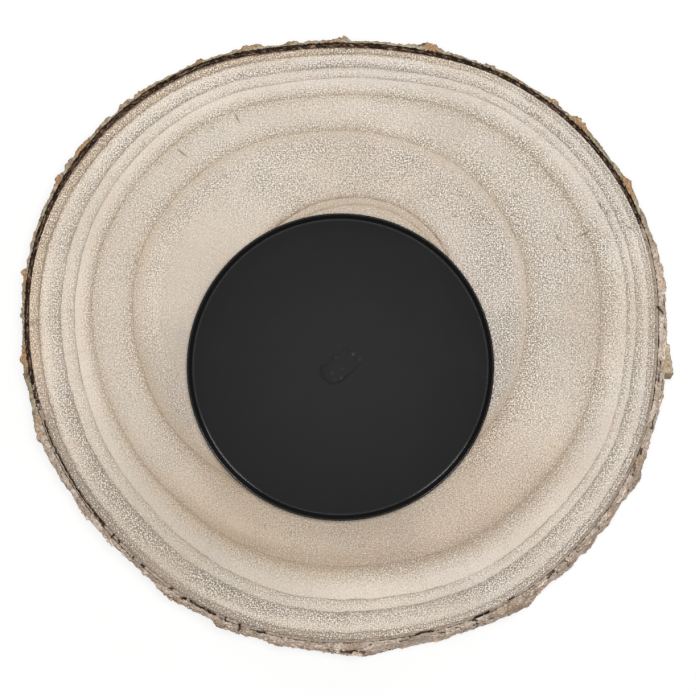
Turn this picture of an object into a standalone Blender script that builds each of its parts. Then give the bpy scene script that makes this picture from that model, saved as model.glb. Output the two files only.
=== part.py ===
"""Wooden candle plate: a log slice in its bark, with a shallow black steel dish on top.

The slice is cut at a slant to the trunk, so its lower face lies a little to one side of its
upper face. Dark inner bark and lumpy outer bark go round it in one piece each. The dish is
pressed from sheet, and a pin under the middle of its floor sits in a blind bore in the wood.
Four felt pads keep the slice off the table. Nothing moves.

Units are metres and +Z is up. The origin is on the table, under the middle of the plate.
"""
import math

import bmesh
import bpy
from mathutils import Vector, noise

# Gap between pieces that touch
CLEARANCE = 0.0003

# Wood: radius of its edge on the upper face, in even steps counter-clockwise from +X
WOOD_RADII = (
    0.1404, 0.1443, 0.1447, 0.1424, 0.1383, 0.1391,
    0.1459, 0.1498, 0.1504, 0.1463, 0.1417, 0.1372,
    0.1361, 0.1346, 0.1337, 0.1362, 0.1375, 0.1399,
)
WOOD_THICKNESS = 0.035
WOOD_EDGE_BREAK = 0.0006

# Slant of the trunk: how far and which way the lower face lies from the upper one
LEAN_REACH = 0.0068
LEAN_ANGLE = math.radians(-65.0)

# Bark: the inner layer is thin on the side that the trunk leans to, and thick on the other. The
# outer layer's thickness is in even steps counter-clockwise from +X, and where it is thinner than
# BARK_FULL its plates and worn edges are shallower too.
INNER_BARK_THIN = 0.0008
INNER_BARK_THICK = 0.0015
OUTER_BARK_THICKNESSES = (
    0.0038, 0.0036, 0.0027, 0.0025, 0.0025, 0.0019, 0.0017, 0.0013, 0.0016,
    0.0016, 0.0016, 0.0019, 0.0019, 0.0018, 0.0016, 0.0021, 0.0022, 0.0018,
    0.0020, 0.0025, 0.0035, 0.0032, 0.0020, 0.0021, 0.0016, 0.0017, 0.0022,
    0.0034, 0.0022, 0.0015, 0.0028, 0.0018, 0.0024, 0.0024, 0.0023, 0.0031,
)
BARK_FULL = 0.0022
BARK_EDGE_WEAR = 0.0005

# Ridges of the outer bark: angle in degrees counter-clockwise from +X, and height
BARK_RIDGES = (
    (14, 0.0011), (31, 0.0013), (45, 0.0012), (60, 0.0008), (75, 0.0017), (92, 0.0008),
    (109, 0.0014), (128, 0.0008), (145, 0.0011), (152, 0.0010), (167, 0.0014), (183, 0.0012),
    (196, 0.0015), (211, 0.0010), (218, 0.0009), (235, 0.0022), (246, 0.0021), (256, 0.0012),
    (272, 0.0018), (288, 0.0010), (303, 0.0022), (316, 0.0009), (338, 0.0021), (351, 0.0008),
)
RIDGE_WIDTH = math.radians(2.6)
RIDGE_SWAY = math.radians(1.5)

# Plates that the outer bark is cracked into: their usual size, how far one may stand in or out,
# the cracks between them, and a number that shuffles which plates stand out
PLATE_WIDTH = 0.0105
PLATE_HEIGHT = 0.0140
PLATE_STEP = 0.00045
CRACK_WIDTH = 0.0026
CRACK_DEPTH = 0.00060
PLATE_SHUFFLE = 7.31

# Loose flake that stands off the outer bark
FLAKE_ANGLE = math.radians(-1.5)
FLAKE_WIDTH = 0.0135
FLAKE_REACH = 0.0045
FLAKE_THIN_END = 0.0012
FLAKE_LOW = 0.012
FLAKE_HIGH = 0.029

# Dish, pressed from steel sheet
DISH_X = -0.0039
DISH_Y = -0.0087
DISH_RIM_DIAMETER = 0.1400
DISH_BASE_DIAMETER = 0.1375
DISH_HEIGHT = 0.0100
DISH_SHEET = 0.0010
DISH_BEND_RADIUS = 0.0010
WELD_MARK_DIAMETER = 0.0170
WELD_MARK_HEIGHT = 0.0005

# Pin under the dish
PIN_DIAMETER = 0.0060
PIN_LENGTH = 0.0200
PIN_CHAMFER = 0.0010

# Felt pads
PAD_COUNT = 4
PAD_DIAMETER = 0.0260
PAD_THICKNESS = 0.0025
PAD_CIRCLE_DIAMETER = 0.1900
PAD_SOFT_EDGE = 0.0006
PAD_FIRST_ANGLE = math.radians(45.0)

# Facets, and the angle from which an edge shows as a sharp one
SHARP_ANGLE = math.radians(40.0)
LOG_COLUMNS = 200
BARK_COLUMNS = 300
BARK_ROWS = 8
DISH_COLUMNS = 88
BEND_STEPS = 5
RIM_STEPS = 4
WELD_STEPS = 4
PIN_COLUMNS = 32
PAD_COLUMNS = 40

# Heights that follow from the sizes above
WOOD_BOTTOM = PAD_THICKNESS + CLEARANCE
WOOD_TOP = WOOD_BOTTOM + WOOD_THICKNESS
DISH_BOTTOM = WOOD_TOP + CLEARANCE


def clear_scene():
    """Remove every object that is already in the scene."""
    for old in list(bpy.data.objects):
        bpy.data.objects.remove(old, do_unlink=True)


def paint(name, color, roughness, metallic=0.0):
    """Return a plain material of one colour."""
    material = bpy.data.materials.new(name)
    material.use_nodes = True
    shader = material.node_tree.nodes["Principled BSDF"]
    shader.inputs["Base Color"].default_value = (*color, 1.0)
    shader.inputs["Roughness"].default_value = roughness
    shader.inputs["Metallic"].default_value = metallic
    return material


def add_object(name, bm, material, plate):
    """Turn a bmesh into a smooth-shaded object that hangs on the plate's empty."""
    bmesh.ops.remove_doubles(bm, verts=bm.verts, dist=1e-6)
    bmesh.ops.recalc_face_normals(bm, faces=bm.faces)
    mesh = bpy.data.meshes.new(name)
    bm.to_mesh(mesh)
    bm.free()
    mesh.shade_smooth()
    mesh.set_sharp_from_angle(angle=SHARP_ANGLE)
    mesh.materials.append(material)
    item = bpy.data.objects.new(name, mesh)
    bpy.context.scene.collection.objects.link(item)
    item.parent = plate
    return item


def around(values, angle):
    """A closed cubic through values that stand in even steps counter-clockwise from +X."""
    count = len(values)
    place = (angle % math.tau) / math.tau * count
    start = int(place)
    t = place - start
    a, b, c, d = (values[(start + k) % count] for k in (-1, 0, 1, 2))
    bend = (2 * a - 5 * b + 4 * c - d) * t ** 2 + (3 * b - a - 3 * c + d) * t ** 3
    return 0.5 * (2 * b + (c - a) * t + bend)


def wood_radius(angle):
    """Radius of the wood's edge at an angle."""
    return around(WOOD_RADII, angle)


def inner_bark_radius(angle):
    """Radius of the outside of the inner bark."""
    leaning = 0.5 + 0.5 * math.cos(angle - LEAN_ANGLE)
    thickness = INNER_BARK_THICK + (INNER_BARK_THIN - INNER_BARK_THICK) * leaning
    return wood_radius(angle) + CLEARANCE + thickness


def turn_between(angle, other):
    """Signed angle from other to angle, at most half a turn."""
    return (angle - other + math.pi) % math.tau - math.pi


def flake_relief(angle, height):
    """Height of the loose flake: it rises slowly on one side and ends in a torn edge."""
    across = turn_between(angle, FLAKE_ANGLE) * wood_radius(angle) / FLAKE_WIDTH
    if abs(across) > 0.5 or not FLAKE_LOW <= height <= FLAKE_HIGH:
        return 0.0
    return FLAKE_REACH + (FLAKE_THIN_END - FLAKE_REACH) * (0.5 + across)


def plate_relief(angle, height):
    """Height of the bark's plates: each stands in or out by its own amount, with a crack round it."""
    round_way = wood_radius(angle) / PLATE_WIDTH
    spot = Vector((
        round_way * math.cos(angle),
        round_way * math.sin(angle),
        height / PLATE_HEIGHT,
    ))
    distances, middles = noise.voronoi(spot)
    own_step = PLATE_STEP * noise.cell(middles[0] * PLATE_SHUFFLE)
    to_crack = (distances[1] - distances[0]) * PLATE_WIDTH / 2
    return own_step - CRACK_DEPTH * max(0.0, 1.0 - 2 * to_crack / CRACK_WIDTH)


def ridge_relief(angle, height):
    """Height of the upright ridges."""
    level = height / WOOD_THICKNESS
    relief = 0.0
    for degrees, ridge in BARK_RIDGES:
        sway = RIDGE_SWAY * math.sin(degrees + 4.0 * level)
        across = turn_between(angle, math.radians(degrees) + sway) / RIDGE_WIDTH
        fade = 0.75 + 0.25 * math.cos(degrees + 7.0 * level)
        relief += ridge * fade * math.exp(-across * across)
    return relief


def outer_bark_radius(angle, height):
    """Radius of the outside of the outer bark, drawn in a little at its worn cut edges."""
    edge = min(height, WOOD_THICKNESS - height)
    wear = BARK_EDGE_WEAR if edge < 1e-6 else 0.0
    thickness = around(OUTER_BARK_THICKNESSES, angle)
    fullness = min(1.0, thickness / BARK_FULL)
    thickness += fullness * (plate_relief(angle, height) - wear)
    thickness += ridge_relief(angle, height) + flake_relief(angle, height)
    return inner_bark_radius(angle) + CLEARANCE + thickness


def log_point(radius, angle, height):
    """Point of the log at a radius and angle, shifted by the trunk's slant."""
    shift = LEAN_REACH * (1.0 - height / WOOD_THICKNESS)
    x = radius * math.cos(angle) + shift * math.cos(LEAN_ANGLE)
    y = radius * math.sin(angle) + shift * math.sin(LEAN_ANGLE)
    return Vector((x, y, WOOD_BOTTOM + height))


def spun(section, columns):
    """Spin a list of (radius, height) points once round Z."""
    bm = bmesh.new()
    points = [bm.verts.new((radius, 0.0, height)) for radius, height in section]
    edges = [bm.edges.new(pair) for pair in zip(points, points[1:])]
    bmesh.ops.spin(
        bm,
        geom=points + edges,
        cent=(0.0, 0.0, 0.0),
        axis=(0.0, 0.0, 1.0),
        angle=math.tau,
        steps=columns,
        use_merge=True,
    )
    return bm


def bark_ring(inside, outside, columns, rows):
    """Make a ring of bark between two radius functions of angle and height.

    A plain ring is spun first, 1 m wide at its inner wall and 2 m at its outer wall, and each
    of its points then goes to its place on the log.
    """
    outer_wall = [(2.0, WOOD_THICKNESS * (1.0 - k / rows)) for k in range(rows + 1)]
    inner_wall = [(1.0, 0.0), (1.0, WOOD_THICKNESS)]
    section = outer_wall + inner_wall
    bm = spun(section + section[:1], columns)
    for vert in bm.verts:
        angle = math.atan2(vert.co.y, vert.co.x)
        height = vert.co.z
        wall = outside if vert.co.xy.length > 1.5 else inside
        vert.co = log_point(wall(angle, height), angle, height)
    return bm


def make_wood(plate):
    """The wood: a slanted slice with broken edges and a blind bore for the pin."""
    bm = bmesh.new()
    bmesh.ops.create_circle(bm, cap_ends=True, segments=LOG_COLUMNS, radius=1.0)
    upper = bmesh.ops.extrude_face_region(bm, geom=bm.faces[:])["geom"]
    lifted = [item for item in upper if isinstance(item, bmesh.types.BMVert)]
    bmesh.ops.translate(bm, verts=lifted, vec=(0.0, 0.0, WOOD_THICKNESS))
    for vert in bm.verts:
        angle = math.atan2(vert.co.y, vert.co.x)
        vert.co = log_point(wood_radius(angle), angle, vert.co.z)
    wood = add_object("wood_slice", bm, paint("wood", (0.61, 0.53, 0.44), 0.75), plate)

    edge_break = wood.modifiers.new("edge_break", "BEVEL")
    edge_break.width = WOOD_EDGE_BREAK
    edge_break.segments = 1
    edge_break.limit_method = "ANGLE"
    edge_break.angle_limit = SHARP_ANGLE

    bore_depth = PIN_LENGTH + CLEARANCE
    cutter = bmesh.new()
    bmesh.ops.create_cone(
        cutter,
        cap_ends=True,
        segments=PIN_COLUMNS,
        radius1=PIN_DIAMETER / 2 + CLEARANCE,
        radius2=PIN_DIAMETER / 2 + CLEARANCE,
        depth=2 * bore_depth,
    )
    bore_cutter = add_object("pin_bore_cutter", cutter, wood.data.materials[0], plate)
    bore_cutter.location = (DISH_X, DISH_Y, WOOD_TOP)
    bore_cutter.hide_render = True
    bore_cutter.display_type = "WIRE"
    bore = wood.modifiers.new("pin_bore", "BOOLEAN")
    bore.operation = "DIFFERENCE"
    bore.object = bore_cutter


def make_bark(plate):
    """The two layers of bark."""
    inner = bark_ring(
        lambda angle, height: wood_radius(angle) + CLEARANCE,
        lambda angle, height: inner_bark_radius(angle),
        columns=LOG_COLUMNS,
        rows=1,
    )
    add_object("inner_bark", inner, paint("inner_bark", (0.040, 0.022, 0.014), 0.85), plate)
    outer = bark_ring(
        lambda angle, height: inner_bark_radius(angle) + CLEARANCE,
        outer_bark_radius,
        columns=BARK_COLUMNS,
        rows=BARK_ROWS,
    )
    add_object("outer_bark", outer, paint("outer_bark", (0.40, 0.32, 0.26), 0.9), plate)


def sheet_middle():
    """Points and normals along the middle of the dish's sheet, from the bend to the rim."""
    half = DISH_SHEET / 2
    corner = Vector((DISH_BASE_DIAMETER / 2 - half, half))
    rim = Vector((DISH_RIM_DIAMETER / 2 - half, DISH_HEIGHT - half))
    wall = (rim - corner).normalized()
    slope = math.atan2(wall.y, wall.x)
    radius = DISH_BEND_RADIUS + half
    setback = radius * math.tan(slope / 2)
    center = Vector((corner.x - setback, corner.y + radius))
    path = []
    for k in range(BEND_STEPS + 1):
        turn = slope * k / BEND_STEPS
        normal = Vector((-math.sin(turn), math.cos(turn)))
        path.append((center - radius * normal, normal))
    path.append((rim, path[-1][1]))
    return path


def dish_section():
    """Half section of the dish: underside, rim, inside, and the weld mark at the axis."""
    half = DISH_SHEET / 2
    path = sheet_middle()
    rim, normal = path[-1]
    along = Vector((normal.y, -normal.x))
    lower = [point - half * side for point, side in path]
    upper = [point + half * side for point, side in path]
    lip = []
    for k in range(1, RIM_STEPS):
        turn = math.pi * k / RIM_STEPS
        lip.append(rim + half * (math.sin(turn) * along - math.cos(turn) * normal))
    mark = []
    for k in range(WELD_STEPS + 1):
        share = k / WELD_STEPS
        rise = WELD_MARK_HEIGHT * (0.5 - 0.5 * math.cos(math.pi * share))
        mark.append((WELD_MARK_DIAMETER / 2 * (1.0 - share), DISH_SHEET + rise))
    outline = lower + lip + upper[::-1]
    return [(0.0, 0.0)] + [tuple(point) for point in outline] + mark


def make_dish(plate):
    """The dish, standing on the wood a little off the middle of the slice."""
    black = paint("black_coating", (0.026, 0.026, 0.026), 0.45)
    dish = add_object("candle_dish", spun(dish_section(), DISH_COLUMNS), black, plate)
    dish.location = (DISH_X, DISH_Y, DISH_BOTTOM)


def make_pin(plate):
    """The pin under the dish, upright in its bore."""
    radius = PIN_DIAMETER / 2
    section = [
        (0.0, 0.0),
        (radius, 0.0),
        (radius, PIN_CHAMFER - PIN_LENGTH),
        (radius - PIN_CHAMFER, -PIN_LENGTH),
        (0.0, -PIN_LENGTH),
    ]
    steel = paint("steel", (0.50, 0.50, 0.50), 0.35, 1.0)
    pin = add_object("dish_pin", spun(section, PIN_COLUMNS), steel, plate)
    pin.location = (DISH_X, DISH_Y, WOOD_TOP)


def make_pads(plate):
    """The felt pads, evenly round the middle of the lower face."""
    radius = PAD_DIAMETER / 2
    section = [
        (0.0, PAD_THICKNESS),
        (radius, PAD_THICKNESS),
        (radius, PAD_SOFT_EDGE),
        (radius - PAD_SOFT_EDGE, 0.0),
        (0.0, 0.0),
    ]
    felt = paint("felt", (0.20, 0.17, 0.14), 1.0)
    for k in range(PAD_COUNT):
        angle = PAD_FIRST_ANGLE + math.tau * k / PAD_COUNT
        seat = log_point(PAD_CIRCLE_DIAMETER / 2, angle, 0.0)
        pad = add_object(f"felt_pad_{k + 1}", spun(section, PAD_COLUMNS), felt, plate)
        pad.location = (seat.x, seat.y, 0.0)


def center_plate(plate):
    """Move the plate so that the middle of its outline is over the origin."""
    bark = bpy.data.objects["outer_bark"].data
    xs = [vert.co.x for vert in bark.vertices]
    ys = [vert.co.y for vert in bark.vertices]
    plate.location = (-(min(xs) + max(xs)) / 2, -(min(ys) + max(ys)) / 2, 0.0)


def main():
    clear_scene()
    plate = bpy.data.objects.new("candle_plate", None)
    bpy.context.scene.collection.objects.link(plate)
    make_wood(plate)
    make_bark(plate)
    make_dish(plate)
    make_pin(plate)
    make_pads(plate)
    center_plate(plate)
    bpy.context.view_layer.update()


main()
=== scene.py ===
"""Wooden candle plate: dresses the packed solids in wood, bark, coating and felt, and lights them.

Everything is in metres in the packed model's own frame. The log's fine pieces follow the packed
walls, so they stay where the solids are.
"""
import math
import random

import bmesh
import bpy
from mathutils import Matrix, Vector, noise
from mathutils.bvhtree import BVHTree


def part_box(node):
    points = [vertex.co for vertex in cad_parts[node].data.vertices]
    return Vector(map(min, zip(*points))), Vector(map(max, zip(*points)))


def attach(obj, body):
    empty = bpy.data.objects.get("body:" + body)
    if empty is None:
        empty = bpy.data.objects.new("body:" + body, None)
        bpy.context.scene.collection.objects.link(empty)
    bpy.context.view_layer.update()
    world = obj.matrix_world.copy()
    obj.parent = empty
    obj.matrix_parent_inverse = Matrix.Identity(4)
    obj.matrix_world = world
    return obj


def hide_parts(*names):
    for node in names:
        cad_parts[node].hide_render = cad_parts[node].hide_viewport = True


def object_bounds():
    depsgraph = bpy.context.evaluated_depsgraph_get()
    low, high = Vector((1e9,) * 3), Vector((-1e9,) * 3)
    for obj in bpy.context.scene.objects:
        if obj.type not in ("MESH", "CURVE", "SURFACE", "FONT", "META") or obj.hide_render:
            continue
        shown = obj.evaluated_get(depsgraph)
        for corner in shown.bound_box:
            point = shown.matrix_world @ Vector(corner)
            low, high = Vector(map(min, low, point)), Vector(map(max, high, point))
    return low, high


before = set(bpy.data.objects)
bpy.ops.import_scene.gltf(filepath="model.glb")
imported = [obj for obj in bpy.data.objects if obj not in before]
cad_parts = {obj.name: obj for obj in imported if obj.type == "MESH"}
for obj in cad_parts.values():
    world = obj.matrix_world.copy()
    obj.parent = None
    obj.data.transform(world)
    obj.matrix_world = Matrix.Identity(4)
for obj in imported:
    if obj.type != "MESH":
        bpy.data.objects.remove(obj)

bl_info = {
    "name": "Wooden Candle Plate",
    "version": (1, 0, 0),
    "blender": (4, 5, 0),
    "location": "View3D > Sidebar > Candle Plate",
    "description": "Builds a log slice in its bark with a shallow black candle dish",
    "category": "Add Mesh",
}

CAD_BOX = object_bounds()
WOOD_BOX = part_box("wood_slice")
DISH_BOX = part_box("candle_dish")
DISH_MIDDLE = (DISH_BOX[0] + DISH_BOX[1]) / 2
# Where the dish stands, from the log's own middle on the upper face
DISH_PLACE = Vector((-0.0039, -0.0087, 0.0))
LOG_AXIS = Vector((DISH_MIDDLE.x, DISH_MIDDLE.y, 0.0)) - DISH_PLACE
# About how far the bark is from the log's middle
BARK_RADIUS = 0.145
# Long enough to reach from the log's middle past its bark on every side
CLEAR = 0.5
# Level at which the smooth walls of the packed wood and inner bark are measured
SCAN_LEVEL = 0.25

# Growth rings from the pith outwards. Each is its share of the way from the pith to the edge of
# the wood, at eight even steps counter-clockwise from +X.
GROWTH_RINGS = (
    (0.330, 0.375, 0.405, 0.365, 0.330, 0.310, 0.310, 0.320),
    (0.575, 0.620, 0.670, 0.676, 0.684, 0.656, 0.570, 0.565),
    (0.815, 0.818, 0.811, 0.807, 0.805, 0.792, 0.783, 0.793),
    (0.905, 0.898, 0.880, 0.868, 0.858, 0.866, 0.883, 0.890),
    (0.935, 0.932, 0.920, 0.911, 0.900, 0.906, 0.917, 0.921),
    (0.978, 0.976, 0.972, 0.966, 0.968, 0.976, 0.980, 0.981),
)
RING_PLACES = tuple(sum(ring) / len(ring) for ring in GROWTH_RINGS)


class Value:
    """One output of a node. Arithmetic on it adds Math nodes."""

    def __init__(self, nodes, socket):
        self.nodes = nodes
        self.socket = socket

    def __add__(self, other):
        return self.nodes.math("ADD", self, other)

    def __sub__(self, other):
        return self.nodes.math("SUBTRACT", self, other)

    def __rsub__(self, other):
        return self.nodes.math("SUBTRACT", other, self)

    def __mul__(self, other):
        return self.nodes.math("MULTIPLY", self, other)

    def __truediv__(self, other):
        return self.nodes.math("DIVIDE", self, other)

    def __neg__(self):
        return self.nodes.math("MULTIPLY", self, -1.0)

    __radd__ = __add__
    __rmul__ = __mul__


class Nodes:
    """A node tree and what fills it."""

    def __init__(self, tree):
        self.tree = tree

    def feed(self, socket, value):
        """Link a value to a socket, or set the socket to a number or colour."""
        if isinstance(value, Value):
            self.tree.links.new(value.socket, socket)
        elif hasattr(socket.default_value, "__len__") and len(socket.default_value) == 4:
            socket.default_value = (*value[:3], 1.0)
        else:
            socket.default_value = value

    def node(self, kind, settings=None, sockets=None, out=0):
        """Add a node: its settings first, then its sockets. Returns one of its outputs."""
        made = self.tree.nodes.new(kind)
        for name, value in (settings or {}).items():
            if name == "stops":
                self.set_stops(made.color_ramp.elements, value)
            else:
                setattr(made, name, value)
        for name, value in (sockets or {}).items():
            self.feed(made.inputs[name], value)
        return Value(self, made.outputs[out])

    @staticmethod
    def set_stops(elements, stops):
        """Give a ramp a grey level at each place."""
        for place, level in stops[len(elements):]:
            elements.new(place)
        for element, (place, level) in zip(elements, stops):
            element.position = place
        for element, (place, level) in zip(elements, stops):
            element.color = (level, level, level, 1.0)

    def math(self, operation, *values):
        return self.node("ShaderNodeMath", {"operation": operation}, dict(enumerate(values)))

    def seen(self):
        """1 for rays that show the stage straight, in a mirror or through glass."""
        names = ("Is Camera Ray", "Is Glossy Ray", "Is Transmission Ray")
        camera, glossy, through = (self.node("ShaderNodeLightPath", out=name) for name in names)
        return self.math("MAXIMUM", camera, self.math("MAXIMUM", glossy, through))


class Finish(Nodes):
    """A procedural material and the few kinds of node that it is written with."""

    def __init__(self, name):
        self.material = bpy.data.materials.new(name)
        self.material.use_nodes = True
        super().__init__(self.material.node_tree)
        self.shader = self.tree.nodes["Principled BSDF"]
        self.spot = self.node("ShaderNodeTexCoord", out="Object")

    def step(self, value, low, high):
        """0 below low, 1 above high, and smooth between them."""
        return self.node(
            "ShaderNodeMapRange",
            {"interpolation_type": "SMOOTHSTEP"},
            {"Value": value, "From Min": low, "From Max": high},
        )

    def bell(self, value, width):
        """1 where a value is 0, falling off over a width on both sides."""
        share = value / width
        return self.math("EXPONENT", -(share * share))

    def noise(self, scale, detail=2.0, spot=None, roughness=0.5, flat=False):
        """Soft noise round 0, between about -0.5 and 0.5. Flat noise is the same at any height."""
        made = self.node(
            "ShaderNodeTexNoise",
            {"noise_dimensions": "2D" if flat else "3D"},
            {
                "Vector": spot or self.spot,
                "Scale": scale,
                "Detail": detail,
                "Roughness": roughness,
            },
        )
        return made - 0.5

    def patches(self, scale, detail, low, high):
        """Patches of noise with soft edges: 1 inside them and 0 outside."""
        return self.step(self.noise(scale, detail), low, high)

    def cells(self, scale, mess):
        """Flat cell pattern: the distance to each cell's middle."""
        sockets = {"Vector": self.spot, "Scale": scale, "Randomness": mess}
        settings = {"voronoi_dimensions": "2D"}
        return self.node("ShaderNodeTexVoronoi", settings, sockets, "Distance")

    def mix(self, share, first, second, blend="MIX"):
        """Mix two colours."""
        settings = {"data_type": "RGBA", "blend_type": blend}
        return self.node("ShaderNodeMix", settings, {0: share, 6: first, 7: second}, 2)

    def over(self, color, *tints):
        """Lay tints over a colour. Each comes after its strength."""
        for share, tint in tints:
            color = self.mix(share, color, tint)
        return color

    def shift(self, color, share, factor):
        """Multiply a colour by a factor, as far as a share says."""
        return self.mix(share, color, factor, "MULTIPLY")

    def vector(self, operation, first, second, out="Vector"):
        settings = {"operation": operation}
        return self.node("ShaderNodeVectorMath", settings, {0: first, 1: second}, out)

    def lifted(self, vector, height):
        """A vector with a value added to its height."""
        return self.vector("ADD", vector, self.node("ShaderNodeCombineXYZ", None, {2: height}))

    def way_from(self, middle):
        """Level direction from a middle, one long."""
        away = self.vector("SUBTRACT", self.spot, middle)
        flat = self.vector("MULTIPLY", away, (1.0, 1.0, 0.0))
        return self.vector("NORMALIZE", flat, (0.0, 0.0, 0.0))

    def facing(self, way, degrees, low, high):
        """1 where a level direction points some degrees from +X, 0 where it points elsewhere."""
        along = self.vector("DOT_PRODUCT", way, heading(math.radians(degrees)), "Value")
        return self.step(along, low, high)

    def along_bark(self, across, fine, layers):
        """Coordinates that run with the bark: fine steps a metre round it, layers across it."""
        turn = BARK_RADIUS * fine
        round_way = self.vector("MULTIPLY", self.way_from(LOG_AXIS), (turn, turn, 0.0))
        return self.lifted(round_way, across * layers)

    def layer(self, name):
        """A float attribute of the piece's own mesh."""
        return self.node("ShaderNodeAttribute", {"attribute_name": name}, None, "Fac")

    def grade(self, value, stops):
        """A number for each value from 0 to 1."""
        grey = self.node("ShaderNodeValToRGB", {"stops": stops}, {0: value})
        return self.node("ShaderNodeRGBToBW", None, {0: grey})

    def coat(self, color, roughness, height, strength, reach, gloss=0.5):
        """Feed the shader and return the finished material."""
        self.feed(self.shader.inputs["Base Color"], color)
        self.feed(self.shader.inputs["Roughness"], roughness)
        self.shader.inputs["Specular IOR Level"].default_value = gloss
        sockets = {"Strength": strength, "Distance": reach, "Height": height}
        self.feed(self.shader.inputs["Normal"], self.node("ShaderNodeBump", None, sockets))
        return self.material


def around(values, angle):
    """A closed smooth curve through values that stand at even angles from +X."""
    count = len(values)
    place = (angle % math.tau) / math.tau * count
    start = int(place) % count
    t = place - int(place)
    a, b, c, d = (values[(start + k) % count] for k in (-1, 0, 1, 2))
    bend = (2 * a - 5 * b + 4 * c - d) * t ** 2 + (3 * b - a - 3 * c + d) * t ** 3
    return 0.5 * (2 * b + (c - a) * t + bend)


def blend(low, high, share):
    return low + (high - low) * share


def smooth(value, low, high):
    """0 below low, 1 above high, and smooth between them."""
    t = min(max((value - low) / (high - low), 0.0), 1.0)
    return t * t * (3.0 - 2.0 * t)


def turn_between(angle, other):
    """Signed angle from other to angle, at most half a turn."""
    return (angle - other + math.pi) % math.tau - math.pi


def degrees_from(angle, degrees):
    """Signed angle in degrees from a direction in degrees to an angle, at most half a turn."""
    return math.degrees(turn_between(angle, math.radians(degrees)))


def heading(angle):
    """Level direction at an angle from +X, one long."""
    return Vector((math.cos(angle), math.sin(angle), 0.0))


def column_at(angle, columns):
    """The nearest of a number of even steps round, counted from +X."""
    return round(angle / math.tau * columns) % columns


class Log:
    """The packed log: where its walls are at an angle and a height."""

    def __init__(self):
        self.bottom = WOOD_BOX[0].z
        self.top = WOOD_BOX[1].z
        points = [vert.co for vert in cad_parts["inner_bark"].data.vertices]
        half_way = self.height(0.5)
        low_middle = self.box_middle([p for p in points if p.z < half_way])
        top_middle = self.box_middle([p for p in points if p.z > half_way])
        self.top_middle = LOG_AXIS
        self.low_middle = self.top_middle + low_middle - top_middle
        self.walls = {}
        for name in ("wood_slice", "inner_bark", "outer_bark"):
            bm = bmesh.new()
            bm.from_mesh(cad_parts[name].data)
            self.walls[name] = BVHTree.FromBMesh(bm)
            bm.free()

    @staticmethod
    def box_middle(points):
        xs = [p.x for p in points]
        ys = [p.y for p in points]
        return Vector(((min(xs) + max(xs)) / 2, (min(ys) + max(ys)) / 2, 0.0))

    def height(self, level):
        """Height of a level, which is 0 at the wood's lower face and 1 at its upper face."""
        return blend(self.bottom, self.top, level)

    def middle(self, z):
        """Middle of the slanting trunk at a height."""
        share = (z - self.bottom) / (self.top - self.bottom)
        place = self.low_middle.lerp(self.top_middle, share)
        return Vector((place.x, place.y, z))

    def shift(self, z):
        """How far the trunk's slant moves it at a height, from where it is at the top."""
        return (self.middle(z) - self.middle(self.top)).to_2d().to_3d()

    def reach(self, name, start, angle, outside=False):
        """Distance from a point to a wall, met first from inside or first from outside."""
        way = heading(angle)
        if outside:
            hit = self.walls[name].ray_cast(start + way * CLEAR, -way, CLEAR)[0]
        else:
            hit = self.walls[name].ray_cast(start, way, CLEAR)[0]
        if hit is None:
            raise RuntimeError(f"no wall of {name} at {math.degrees(angle):.1f} degrees")
        return (hit - start).length


def spun(section, columns, merge=1e-6):
    """Spin a list of (radius, height) points once round Z.

    A narrow wedge is spun first and then doubled until it goes all round, which is quicker.
    """
    angle = math.tau
    wedge_steps = 20
    while columns % 2 == 0 and columns > wedge_steps:
        columns //= 2
        angle /= 2.0
    bm = bmesh.new()
    points = [bm.verts.new((radius, 0.0, height)) for radius, height in section]
    edges = [bm.edges.new(pair) for pair in zip(points, points[1:])]
    bmesh.ops.spin(
        bm,
        geom=points + edges,
        cent=(0.0, 0.0, 0.0),
        axis=(0.0, 0.0, 1.0),
        angle=angle,
        steps=columns,
    )
    while angle < 0.75 * math.tau:
        copied = bmesh.ops.duplicate(bm, geom=bm.verts[:] + bm.edges[:] + bm.faces[:])["geom"]
        bmesh.ops.rotate(
            bm,
            verts=[item for item in copied if isinstance(item, bmesh.types.BMVert)],
            cent=(0.0, 0.0, 0.0),
            matrix=Matrix.Rotation(angle, 3, "Z"),
        )
        angle *= 2.0
    bmesh.ops.remove_doubles(bm, verts=bm.verts, dist=merge)
    return bm


def add_layers(bm, names):
    """Give the verts a float layer for each name."""
    for name in names:
        bm.verts.layers.float.new(name)
    return {name: bm.verts.layers.float[name] for name in names}


def add_object(name, bm):
    """Turn a bmesh into an object of the scene."""
    mesh = bpy.data.meshes.new(name)
    bm.to_mesh(mesh)
    bm.free()
    made = bpy.data.objects.new(name, mesh)
    bpy.context.scene.collection.objects.link(made)
    return made


def add_piece(name, bm, material, nodes, sharp=40.0):
    """Turn a bmesh into a piece that rides on the plate and stands for its solids."""
    bmesh.ops.recalc_face_normals(bm, faces=bm.faces)
    if bm.calc_volume(signed=True) < 0.0:
        bmesh.ops.reverse_faces(bm, faces=bm.faces)
    piece = add_object(name, bm)
    piece.data.shade_smooth()
    piece.data.set_sharp_from_angle(angle=math.radians(sharp))
    piece.data.materials.append(material)
    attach(piece, "root")
    if nodes:
        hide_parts(*nodes)
    return piece


def number_setting(name, description, default, **kind):
    """A setting that is a number, plain or of a unit or subtype."""
    return bpy.props.FloatProperty(name=name, description=description, default=default, **kind)


def length_setting(name, description, default):
    """A setting in metres."""
    return number_setting(name, description, default, unit="LENGTH")


def angle_setting(name, description, degrees):
    """A setting that is an angle."""
    return number_setting(name, description, math.radians(degrees), subtype="ANGLE")


def place_setting(name, description, default):
    """A setting that is a level place in metres."""
    return bpy.props.FloatVectorProperty(
        name=name, description=description, size=2, default=default, subtype="XYZ", unit="LENGTH")


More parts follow.
